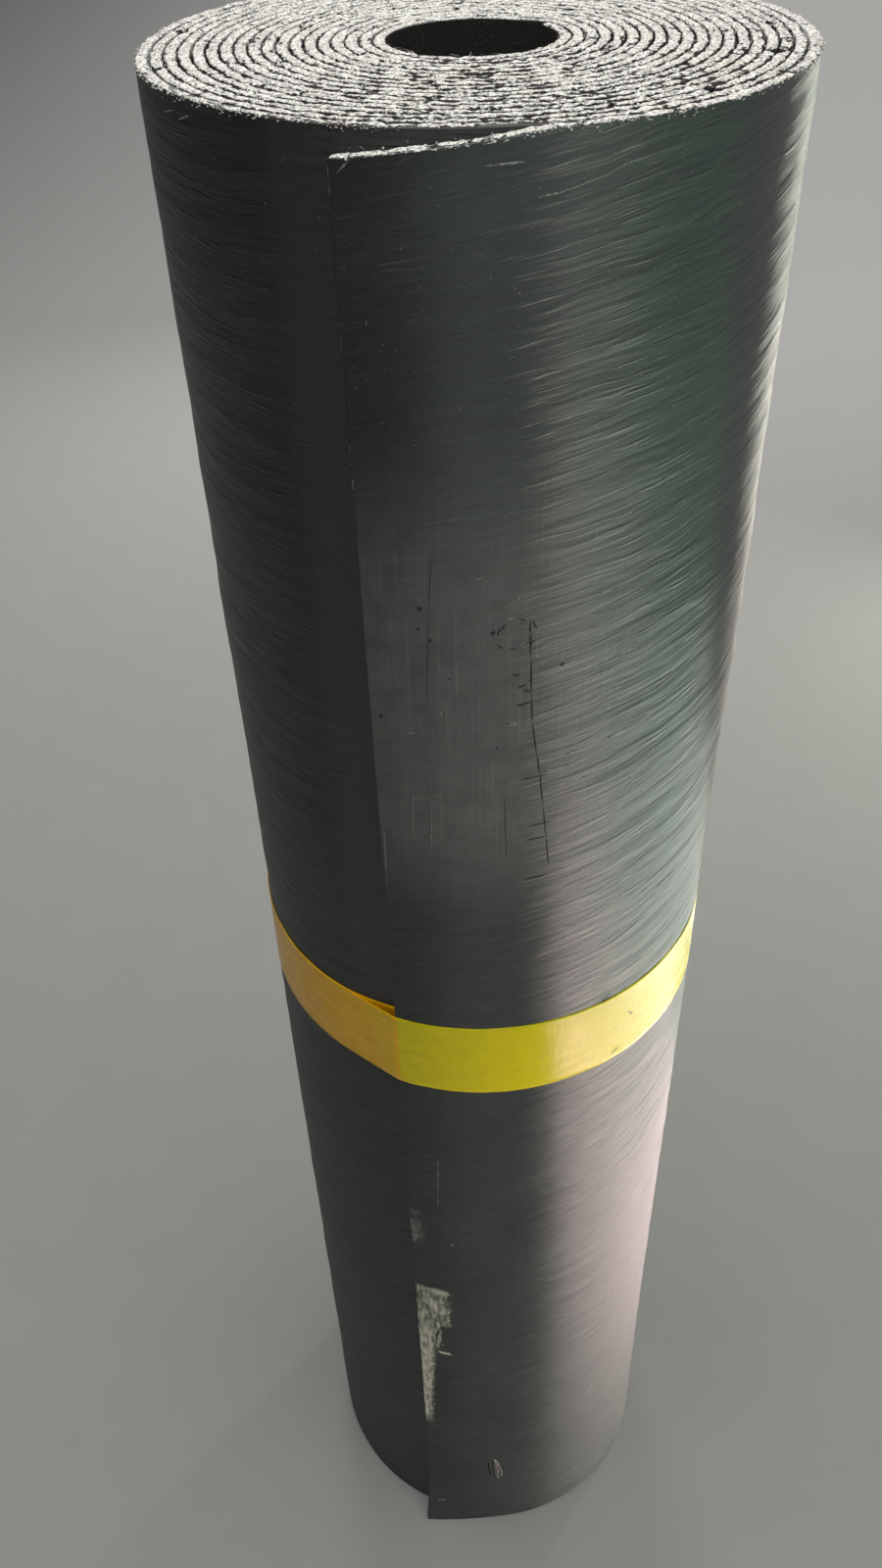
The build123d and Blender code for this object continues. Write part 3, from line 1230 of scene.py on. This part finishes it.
@dataclass
class Fibres:
    """Loose mat fibres: hairs that stand from the torn end, the bore's rim and the film's margin."""

    sheet: Sheet
    name: str = "loose_fibres"
    count: int = 420
    segments: int = 6
    ridges: tuple = (0.5, 2.6, 4.7)
    thickness: float = 0.16 * MM
    seed: int = 47

    def roots(self, draw: np.random.Generator) -> tuple[np.ndarray, np.ndarray, np.ndarray]:
        """Chooses where each hair stands: on the torn end, on the film's margin or round the bore.

        Args:
            draw: The source of the random draws.

        Returns:
            The winding angles, the places, and which of them are round the bore.
        """
        sheet = self.sheet
        turn = sheet.inner_end * draw.uniform(0.0, 1.0, self.count) ** 1.2
        rim = draw.uniform(0, 1, self.count) < 0.22
        turn = np.where(rim, draw.uniform(0.0, 2 * math.pi, self.count), turn)
        bore = draw.uniform(0, 1, self.count) < 0.16
        turn = np.where(bore, sheet.inner_end - draw.uniform(0.0, 2 * math.pi, self.count), turn)
        across = np.where(bore, 0.95, draw.uniform(0.02, 0.95, self.count))
        across = np.where(rim & ~bore, 0.04, across)
        return turn, sheet.place(turn, across * sheet.thickness, sheet.top(turn) - 1.0 * MM), bore

    def build(self, finish: bpy.types.Material) -> bpy.types.Object:
        """Grows curved three-sided hairs: each is a line that bends evenly and falls under its weight.

        Args:
            finish: The torn edge's material.

        Returns:
            The piece.
        """
        draw = np.random.default_rng(self.seed)
        turn, root, bore = self.roots(draw)
        way = draw.choice([-1, 1], self.count)
        heading = self.sheet.loose_end + turn + way * (math.pi / 2 + draw.normal(0, 0.5, self.count))
        rise = draw.uniform(0.05, 0.75, self.count)
        length = draw.uniform(1.5, 6.5, self.count) * np.where(bore, 0.45, 1.0) * MM
        bend = draw.normal(0.0, 1.1, self.count)
        step = np.linspace(0.0, 1.0, self.segments)[None, :]
        angle = heading[:, None] + bend[:, None] * step
        lift = rise[:, None] - 1.25 * rise[:, None] * step ** 1.5
        stride = (length / self.segments)[:, None]
        x = np.cumsum(np.cos(angle) * stride, axis=1) - np.cos(angle[:, :1]) * stride
        y = np.cumsum(np.sin(angle) * stride, axis=1) - np.sin(angle[:, :1]) * stride
        z = np.cumsum(lift * stride, axis=1)
        line = root[:, None] + np.stack([x, y, z], -1)
        taper = self.thickness / 2 * (1 - 0.75 * step[..., None])
        side = np.stack([-np.sin(angle), np.cos(angle), 0 * angle], -1)
        over = np.array([0.0, 0.0, 1.0])
        ring = [line + taper * (side * math.cos(a) + over * math.sin(a)) for a in self.ridges]
        points = np.stack(ring, 2)
        hair = tube_faces(self.segments, len(self.ridges))
        size = self.segments * len(self.ridges)
        faces = [[v + size * k for v in face] for k in range(self.count) for face in hair]
        piece = make_piece(self.name, points, faces, finish, "bitumen_felt")
        write_values(piece, SHADE, np.full(self.count * size, 1.0))
        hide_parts("felt_roll")
        return piece


@dataclass
class FilmMarks:
    """Scratches, glints and pits of the film, where the photo shows them.

    A scratch is a sliver between two places, each an azimuth in degrees and a height in
    millimetres, with its width in millimetres. A pit has one place and a width.
    """

    sheet: Sheet
    # scratches, with painted glints among them: at the left rim, at the corner's fold, and on the wrinkles
    scratches: tuple = (
        ((-88.7, 990.0), (-82.7, 990.7), 0.8), ((-81.2, 980.8), (-77.2, 981.8), 0.7),
        ((-109.4, 987.0), (-107.1, 991.4), 0.6), ((-69.3, 841.4), (-65.3, 841.9), 0.7),
        ((-72.2, 832.6), (-68.7, 833.2), 0.7), ((-64.4, 811.9), (-59.9, 812.4), 0.9),
        ((-68.5, 795.1), (-61.5, 795.9), 0.9), ((-65.9, 771.0), (-60.6, 772.5), 1.0),
        ((-78.0, 762.1), (-70.7, 762.8), 0.6), ((-73.2, 768.3), (-70.9, 769.9), 0.8),
        ((-69.8, 754.1), (-67.6, 754.4), 0.9), ((-84.6, 787.6), (-82.9, 788.6), 2.0),
        ((-97.1, 795.6), (-96.7, 790.6), 0.6), ((-96.2, 795.0), (-95.9, 791.6), 0.5),
        ((-103.6, 781.4), (-101.9, 783.0), 0.6), ((-90.8, 853.0), (-88.6, 854.6), 0.6),
        ((-84.9, 842.4), (-82.6, 845.2), 0.6), ((-107.5, 29.4), (-104.2, 32.6), 1.6),
        ((-55.8, 188.9), (-48.4, 190.8), 0.7), ((-57.5, 137.0), (-53.3, 137.6), 0.7),
        ((-69.6, 278.2), (-68.4, 279.0), 1.0), ((-102.9, 756.7), (-103.6, 723.2), 0.4),
        ((-109.6, 738.0), (-110.0, 690.0), 0.35), ((-99.3, 748.0), (-99.9, 716.0), 0.35),
        ((-101.6, 492.2), (-102.5, 429.8), 0.3), ((-147.9, 992.4), (-144.2, 994.2), 0.5),
        ((-142.6, 992.0), (-138.9, 994.6), 0.6), ((-38.0, 700.0), (-31.0, 700.8), 0.8),
        ((-46.0, 664.0), (-39.0, 665.0), 0.8), ((-52.0, 722.0), (-46.0, 722.8), 0.7),
        ((-110.1, 421.0), (-109.5, 421.4), 0.9), ((-101.5, 422.0), (-100.9, 422.4), 0.9),
        ((-91.7, 416.0), (-91.1, 416.4), 0.9), ((-90.8, 389.0), (-90.2, 389.5), 1.0),
        ((-64.0, 167.0), (-63.3, 167.5), 1.1), ((-59.5, 741.0), (-52.5, 745.5), 0.8),
    )
    flap: tuple = (((-87.0, 106.0), (-86.0, 70.0), 7.0), ((-85.2, 93.0), (-84.7, 74.0), 3.0))
    nick_edge: tuple = ((-89.0, 106.0), (-88.2, 78.0), 2.6)
    cuts: tuple = (((-82.5, 759.0), (-76.5, 760.0), 0.5), ((-80.5, 733.0), (-75.5, 733.6), 0.4),
                   ((-80.8, 725.0), (-76.0, 725.6), 0.4), ((-81.0, 702.0), (-76.0, 702.8), 0.4),
                   ((-97.4, 866.0), (-98.5, 841.0), 0.2), ((-98.5, 841.0), (-99.4, 795.0), 0.2),
                   ((-85.2, 753.0), (-84.6, 712.0), 0.35))
    crease: tuple = ((-80.9, 836.0), (-80.6, 818.0), (-80.3, 800.4), (-80.0, 787.7), (-78.9, 770.4),
                     (-78.3, 761.3), (-77.4, 743.0), (-76.5, 724.5), (-75.7, 708.0))
    crease_width: float = 0.8
    pits: tuple = (
        ((-100.0, 840.7), 2.0), ((-100.4, 831.7), 1.3), ((-98.4, 827.1), 1.7), ((-87.3, 830.5), 1.9),
        ((-74.7, 813.1), 1.8), ((-108.4, 788.3), 1.7), ((-95.1, 810.0), 1.1), ((-86.6, 776.0), 1.2),
    )
    ring_centre: tuple = (-83.7, 829.5)
    ring_radius: float = 8.0
    ring_marks: int = 11
    ring_seed: int = 5
    tape_cuts: tuple = (((-60.6, 601.5), (-58.4, 606.5), 0.7), ((-51.8, 583.0), (-50.0, 578.4), 0.6),
                        ((-56.5, 556.0), (-54.0, 559.5), 0.6))
    thickness: float = 0.12 * MM
    pale_cover: float = 0.05 * MM
    dark_cover: float = 0.12 * MM
    tape_cover: float = 0.46 * MM

    @property
    def degree_mm(self) -> float:
        """How many millimetres of the film lie in one degree round the roll."""
        return math.radians(1.0) * self.sheet.radius_out / MM

    def on_film(self, azimuth: np.ndarray, up: np.ndarray, proud: np.ndarray) -> np.ndarray:
        """Points on the film.

        Args:
            azimuth: Azimuths in degrees.
            up: Heights in metres.
            proud: Distance off the film.

        Returns:
            The points.
        """
        turn = np.radians(azimuth) - self.sheet.loose_end
        turn = np.where(turn < 0, turn + 2 * math.pi, turn)
        return self.sheet.place(turn, 0.0, up, self.sheet.film_folds(turn, up) + proud)

    def ring(self) -> list:
        """A broken ring of short scuffs, with more of them below it, where something was dragged round.

        Returns:
            The scuffs, in the form of the scratches.
        """
        draw = np.random.default_rng(self.ring_seed)
        azimuth, up = self.ring_centre
        marks = []
        spread = np.linspace(0.0, 2 * math.pi, self.ring_marks, endpoint=False)
        for angle in spread + draw.normal(0, 0.12, self.ring_marks):
            reach = self.ring_radius * draw.uniform(0.62, 1.15)
            span = draw.uniform(0.14, 0.3)
            ends = [(azimuth + reach * math.cos(a) / self.degree_mm, up + reach * math.sin(a))
                    for a in (angle - span, angle + span)]
            marks.append((*ends, draw.uniform(0.4, 0.9)))
        for _ in range(self.ring_marks):
            left = azimuth + draw.uniform(-1.0, 3.4)
            height = up - draw.uniform(8.0, 34.0)
            right = (left + draw.uniform(0.6, 1.6), height + draw.uniform(-1.5, 1.5))
            marks.append(((left, height), right, draw.uniform(0.5, 1.1)))
        return marks

    def sliver(self, start: tuple, end: tuple, width: float, cover: float,
               bends: int = 7) -> tuple[np.ndarray, list]:
        """A thin lens between two places: widest in its middle and highest along its spine.

        Its width is that of an ellipse: the root of 1 minus the square of the distance from the
        middle, as a share of half its length.

        Args:
            start: Azimuth in degrees and height in millimetres.
            end: Azimuth in degrees and height in millimetres.
            width: Width in millimetres.
            cover: Its distance off the film.
            bends: How many points lie along it.

        Returns:
            Points and faces.
        """
        share = np.linspace(0.0, 1.0, bends)[:, None]
        across = np.array([-0.5, 0.0, 0.5, 0.0])[None, :]
        height = np.array([-0.3, 1.0, -0.3, -1.2])[None, :]
        swell = np.sqrt(np.clip(1 - (2 * share - 1) ** 2, 0, 1)) * 0.97 + 0.03
        run = np.array([(end[0] - start[0]) * self.degree_mm, end[1] - start[1]])
        side = np.array([-run[1], run[0]]) / np.linalg.norm(run)
        azimuth = start[0] + share * (end[0] - start[0]) + across * width * swell * side[0] / self.degree_mm
        up = start[1] + share * (end[1] - start[1]) + across * width * swell * side[1]
        points = self.on_film(azimuth, up * MM, height * self.thickness * swell + cover).reshape(-1, 3)
        return points, outward(points - points.mean(0), tube_faces(bends, across.shape[1]))

    def join(self, parts: list) -> tuple[np.ndarray, list]:
        """Joins several meshes into one.

        Args:
            parts: Pairs of points and faces.

        Returns:
            All points and all faces.
        """
        points, faces, count = [], [], 0
        for part_points, part_faces in parts:
            points.append(part_points)
            faces.extend([[v + count for v in face] for face in part_faces])
            count += len(part_points)
        return np.concatenate(points), faces

    def build(self, scuff: bpy.types.Material, bare: bpy.types.Material, flap: bpy.types.Material) -> list:
        """Makes the scuffs and the painted glints, the pits with the crease, the nick's flap, and the cuts
        in the tape.

        Args:
            scuff: The material of the scuffed film and of the painted glints.
            bare: The bare bitumen's material.
            flap: The lifted film's material, with its painted highlight.

        Returns:
            The four pieces.
        """
        ring = self.ring()
        # pale slivers: real scratches and scuffs, and painted glints on the rim, the corner and the wrinkles
        pale = [self.sliver(*mark, self.pale_cover) for mark in (*self.scratches, *ring[::3])]
        lit_flap = [self.sliver(*mark, self.pale_cover) for mark in self.flap]
        dark = []
        for (azimuth, up), width in self.pits:
            half = width / 2 / self.degree_mm
            left, right = (azimuth - half, up), (azimuth + half, up + 0.2)
            dark.append(self.sliver(left, right, width, self.pale_cover))
        for top, bottom in zip(self.crease, self.crease[1:]):
            overlap = (bottom[0], bottom[1] - 0.6)
            dark.append(self.sliver(top, overlap, self.crease_width, self.pale_cover, 5))
        for mark in (self.nick_edge, *self.cuts, *ring[1::3], *ring[2::3]):
            dark.append(self.sliver(*mark, self.dark_cover))
        slits = [self.sliver(*cut, self.tape_cover) for cut in self.tape_cuts]
        pieces = []
        for name, parts, finish, slot, node in (
                ("film_scratches_and_glints", pale, scuff, "bitumen_felt", "felt_roll"),
                ("film_pits", dark, bare, "bitumen_felt", "felt_roll"),
                ("film_flap_highlight", lit_flap, flap, "bitumen_felt", "felt_roll"),
                ("tape_cuts", slits, bare, "tape", "tape_band")):
            piece = make_piece(name, *self.join(parts), finish, slot)
            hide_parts(node)
            pieces.append(piece)
        return pieces


@dataclass
class TapeWrap:
    """The tape: from the foot of the step clockwise round the roll, over the step, and on.

    Air is left under its second layer just past the step, where it is painted lighter, partly as a painted
    highlight; a slanting blister beyond is drawn only as such a lighter band.
    """

    sheet: Sheet
    low: float
    high: float
    name: str = "tape_wrap"
    thickness: float = 0.12 * MM
    off_film: float = 0.22 * MM
    off_tape: float = 0.12 * MM
    bridge: float = 33 * MM
    overlap: float = 165 * MM
    drift: float = 1.3 * MM
    start_run: float = 34 * MM
    start_fold: float = 45 * MM
    sway: float = 0.5 * MM
    fold_share: float = 0.55
    pucker: float = 0.08 * MM
    pull: float = 0.16 * MM
    curl: float = 0.12 * MM
    air_run_mm: float = 15.5
    blister_run_mm: float = 27.0
    slant_mm: float = 9.0
    spacing: float = 2.6 * MM
    rows: int = 27

    def build(self, finish: bpy.types.Material) -> bpy.types.Object:
        """Carries the tape's thin section along its way round the roll.

        Its distance from the axis is the film's, plus its thickness for each layer under it. Past
        the step it hangs straight, until it touches the lap below: the height that is left is one
        pitch of the spiral times the square of the share of the bridge that is left.

        Args:
            finish: The tape's material.

        Returns:
            The piece.
        """
        sheet = self.sheet
        once = 2 * math.pi * sheet.radius_out
        run = np.arange(0.0, once + self.overlap, self.spacing)[:, None]
        on_itself = run > once
        second = np.clip(run - once, 0.0, None)
        turn = 2 * math.pi - np.where(on_itself, second, run) / sheet.radius_out
        share = np.linspace(0.0, 1.0, self.rows)
        across = np.concatenate([share, share[::-1]])[None, :]
        outer = np.concatenate([np.ones(self.rows), np.zeros(self.rows)])[None, :]

        middle = (self.low + self.high) / 2 + self.drift * ease(1 - run / self.start_run)
        sway = SmoothNoise(61, 120 * MM, 1.0)(run, 0.0) * self.sway
        up = middle + sway + (across - 0.5) * (self.high - self.low)
        lap = np.where(on_itself, 1.0, 0.0)
        hang = lap * np.clip(1 - second / self.bridge, 0.0, 1.0) ** 2
        folds = sheet.film_folds(turn, up) * self.fold_share
        pucker = SmoothNoise(62, 16 * MM, 7 * MM)(run, up) * self.pucker * (0.4 + 0.6 * lap)
        pulled = lap * ease(1 - np.abs(second - 18 * MM) / (30 * MM))
        pull = SmoothNoise(63, 2.6 * MM, 60 * MM)(run, up) * self.pull * pulled
        curl = SmoothNoise(64, 9 * MM, 1.0)(run, across) * self.curl * np.abs(2 * across - 1) ** 8
        base = self.off_film + lap * (self.thickness + self.off_tape)
        proud = base + folds + pucker + pull + curl + hang * sheet.pitch
        points = sheet.place(turn, 0.0, up, proud - (1 - outer) * self.thickness)
        faces = outward(points.reshape(-1, 3), tube_faces(len(run), across.shape[1]))
        piece = make_piece(self.name, points, faces, finish, "tape")
        write_uv(piece, np.broadcast_to(run, up.shape), up)
        past_mm = second / MM - (across - 0.5) * self.slant_mm
        # painted highlight: the tape is painted lighter just past the step and along a slanting band beyond
        air_and_highlight = ease((self.air_run_mm - past_mm) / 2.0)
        air_and_highlight = air_and_highlight + 0.5 * ease(1 - np.abs(past_mm - self.blister_run_mm) / 5.0)
        start = ease((self.start_fold - run) / (2 * MM))
        layers = np.maximum(lap + np.minimum(air_and_highlight, 1.0) * lap, start)
        write_values(piece, LAYERS, np.broadcast_to(layers, up.shape))
        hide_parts("tape_band")
        return piece


@dataclass(frozen=True)
class Lamp:
    """One soft rectangular lamp, with its power in watts and its colour."""

    name: str
    place: tuple
    target: tuple
    size: tuple
    watts: float
    colour: str
    spares_floor: bool = False

    def hang(self, all_but_floor: bpy.types.Collection) -> None:
        """Hangs the lamp and turns it to its target.

        Args:
            all_but_floor: What a lamp that spares the floor lights.
        """
        lamp = bpy.data.lights.new(self.name, "AREA")
        lamp.shape = "RECTANGLE"
        lamp.size, lamp.size_y = self.size
        lamp.energy = self.watts
        lamp.color = linear(self.colour)[:3]
        holder = bpy.data.objects.new(self.name, lamp)
        direction = Vector(self.target) - Vector(self.place)
        turned = direction.to_track_quat("-Z", "Y").to_matrix().to_4x4()
        holder.matrix_world = Matrix.Translation(self.place) @ turned
        holder.visible_camera = False
        if self.spares_floor:
            holder.light_linking.receiver_collection = all_but_floor
        bpy.context.scene.collection.objects.link(holder)


@dataclass
class Studio:
    """A plain pale floor, plain soft lamps, and a camera at the photo's angle."""

    floor_half: float = 9.0
    floor_colour: str = "#b2b0ad"
    floor_stain: str = "#a09e9a"
    stain_mm: tuple = (60.0, 60.0, 60.0)
    backdrop_colour: str = "#d4d2cf"
    backdrop_from: float = 0.4
    backdrop_to: float = 2.8
    backdrop_glow: float = 0.52
    surround_colour: str = "#e8ebee"
    surround_light: float = 0.07
    camera_back: float = 512.8964 * MM
    camera_up: float = 1099.4078 * MM
    focal_px: float = 1325.8864
    photo_height_px: float = 1600.0
    pitch: float = math.radians(40.9254)
    yaw: float = math.radians(-2.2351)
    roll: float = math.radians(-2.0315)
    lamps: tuple[Lamp, ...] = (
        Lamp("overhead", (0.0, -0.1, 2.3), (0.0, 0.0, 0.9), (1.4, 1.0), 28.0, "#fffdfa"),
        Lamp("front_fill", (0.15, -1.9, 1.9), (0.0, 0.0, 0.6), (1.2, 0.9), 3.2, "#7cfff0"),
        Lamp("mid_front", (-0.05, -1.35, 0.16), (-0.02, -0.12, 0.80), (0.6, 0.3), 1.0, "#ffdbe0", True),
        Lamp("low_right", (0.60, -0.30, 0.11), (0.0, -0.30, 0.11), (1.5, 0.20), 9.8, "#f6fff2", True),
        Lamp("near_right", (0.36, -0.16, 0.05), (0.0, -0.16, 0.25), (0.8, 0.10), 2.8, "#ffd0d3", True),
        Lamp("mid_right", (1.1, -0.35, 0.36), (0.0, 0.0, 0.8), (1.2, 0.4), 1.3, "#95ffcb", True),
        Lamp("rim_right", (0.9, 1.15, 0.6), (0.0, 0.0, 0.5), (0.05, 1.3), 3.5, "#f9ffec"),
        Lamp("rim_low", (0.385, 0.42, 0.42), (0.1, 0.0, 0.6), (0.025, 0.6), 0.68, "#fff0e4", True),
        Lamp("behind", (-0.3, 2.0, 1.2), (0.0, 0.0, 0.5), (0.7, 1.2), 8.0, "#ffffff"),
    )

    def background_rays(self, tree: bpy.types.NodeTree) -> bpy.types.NodeSocket:
        """1 for camera, glossy and transmission rays, which show the backdrop, and 0 for the light's.

        Args:
            tree: The node tree.

        Returns:
            The socket of that value.
        """
        camera, glossy, through = (add_node(tree, "LightPath", output=f"Is {kind} Ray")
                                   for kind in ("Camera", "Glossy", "Transmission"))
        seen = add_node(tree, "Math", (camera, glossy), operation="ADD")
        return add_node(tree, "Math", (seen, through), operation="ADD", use_clamp=True)

    def build_floor(self) -> bpy.types.Collection:
        """Lays the floor, which isn't part of the roll and fades to the backdrop's paleness around it.

        Returns:
            Everything but the floor, for the lamps so near the floor that they would burn it out.
        """
        half = self.floor_half
        corners = [(-half, -half, 0), (half, -half, 0), (half, half, 0), (-half, half, 0)]
        mesh = bpy.data.meshes.new("floor")
        mesh.from_pydata(corners, [], [(0, 1, 2, 3)])
        floor = bpy.data.objects.new("floor", mesh)
        material, tree = new_material("pale_floor")
        space = add_node(tree, "TexCoord", output="Object")
        mottle = mask(tree, (stretched_noise(tree, space, self.stain_mm, 4.0), 0.3, 0.7, 0.0, 0.12))
        colour = paint(tree, self.floor_colour, (mottle, self.floor_stain))
        card = add_node(tree, "BsdfPrincipled", {"Base Color": colour, "Roughness": 0.8})
        away = add_node(tree, "VectorMath", (space,), "Value", operation="LENGTH")
        aside = add_node(tree, "SeparateXYZ", (space,), "X")
        glow = mask(tree, self.background_rays(tree), (aside, -2.6, 0.8, 0.25, 1.0),
                    (away, self.backdrop_from, self.backdrop_to, 0.0, self.backdrop_glow))
        haze = add_node(tree, "Emission", {"Color": self.backdrop_colour, "Strength": glow})
        add_node(tree, "OutputMaterial", {"Surface": add_node(tree, "AddShader", (card, haze))})
        mesh.materials.append(material)
        bpy.context.scene.collection.objects.link(floor)
        all_but_floor = bpy.data.collections.new("all_but_floor")
        all_but_floor.objects.link(floor)
        all_but_floor.collection_objects[0].light_linking.link_state = "EXCLUDE"
        return all_but_floor

    def build_world(self) -> None:
        """Makes a soft even surround, which the background's rays see paler than it lights."""
        world = bpy.data.worlds.new("studio")
        world.use_nodes = True
        tree = world.node_tree
        tree.nodes.clear()
        direction = add_node(tree, "TexCoord", output="Generated")
        aside = add_node(tree, "SeparateXYZ", (direction,), "X")
        paleness = mask(tree, (aside, -0.6, 0.5, 0.08, 0.6))
        seen = add_node(tree, "Background", {"Color": self.backdrop_colour, "Strength": paleness})
        light = add_node(tree, "Background", {"Color": self.surround_colour,
                                              "Strength": self.surround_light})
        both = add_node(tree, "MixShader", (self.background_rays(tree), light, seen))
        add_node(tree, "OutputWorld", {"Surface": both})
        bpy.context.scene.world = world

    def build_camera(self) -> None:
        """Places the camera by its pitch, yaw and roll, at the photo's place and focal length."""
        pitch, yaw, roll = self.pitch, self.yaw, self.roll
        ahead = Vector((math.sin(yaw) * math.cos(pitch), math.cos(yaw) * math.cos(pitch), -math.sin(pitch)))
        level_right = Vector((math.cos(yaw), -math.sin(yaw), 0.0))
        level_up = level_right.cross(ahead)
        right = math.cos(roll) * level_right + math.sin(roll) * level_up
        up = math.cos(roll) * level_up - math.sin(roll) * level_right
        camera = bpy.data.cameras.new("photo_camera")
        camera.sensor_fit = "AUTO"
        camera.sensor_width = 36.0
        camera.lens = self.focal_px / self.photo_height_px * camera.sensor_width
        camera.clip_start = 0.01
        holder = bpy.data.objects.new("photo_camera", camera)
        axes = Matrix((right, up, -ahead)).transposed().to_4x4()
        holder.matrix_world = Matrix.Translation((0.0, -self.camera_back, self.camera_up)) @ axes
        bpy.context.scene.collection.objects.link(holder)
        bpy.context.scene.camera = holder

    def build(self) -> None:
        """Sets up the whole studio. A lamp near the floor spares it."""
        bpy.context.scene.view_settings.view_transform = "Standard"
        all_but_floor = self.build_floor()
        self.build_world()
        for lamp in self.lamps:
            lamp.hang(all_but_floor)
        self.build_camera()


@dataclass
class FeltRoll:
    """The roll: its two visible laps, its torn ends, the crumbs and fibres on them, and its marks."""

    sheet: Sheet
    under_flap: float = math.radians(42.0)

    def build(self) -> None:
        """Builds and dresses every piece of the felt."""
        sheet = self.sheet
        torn = TornEdgeFinish().build()
        lap = 2 * math.pi + self.under_flap
        inner_end = sheet.inner_end
        Lap(sheet, "outer_lap", Side.FILM, 0.0, lap, 4.6 * MM, 430).build(FilmFinish().build())
        Lap(sheet, "bore_lap", Side.BORE, inner_end - lap, inner_end, 3.2 * MM, 90, 2.0).build(
            BoreFinish().build())
        TornEnd(sheet, "top_end", End.TOP, 1.0 * MM, 21).build(torn)
        TornEnd(sheet, "foot_end", End.FOOT, 2.4 * MM, 81).build(torn)
        LooseEdge(sheet).build(torn)
        Crumbs(sheet).build(torn)
        Fibres(sheet).build(torn)
        # painted highlight: the lifted flap is painted lighter than the black film
        lit_flap = ScuffAndGlintFinish("lifted_film_highlight", pale="#565250", edge="#2f2c2c")
        FilmMarks(sheet).build(ScuffAndGlintFinish().build(), PitFinish().build(), lit_flap.build())


def main() -> None:
    """Builds the studio, the roll and its tape."""
    logging.basicConfig(level=logging.INFO, format="%(name)s: %(message)s")
    Studio().build()
    low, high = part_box("felt_roll")
    sheet = Sheet(height=high.z - low.z)
    FeltRoll(sheet).build()
    tape_low, tape_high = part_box("tape_band")
    TapeWrap(sheet, tape_low.z, tape_high.z).build(TapeFinish().build())


if __name__ == "__main__":
    main()
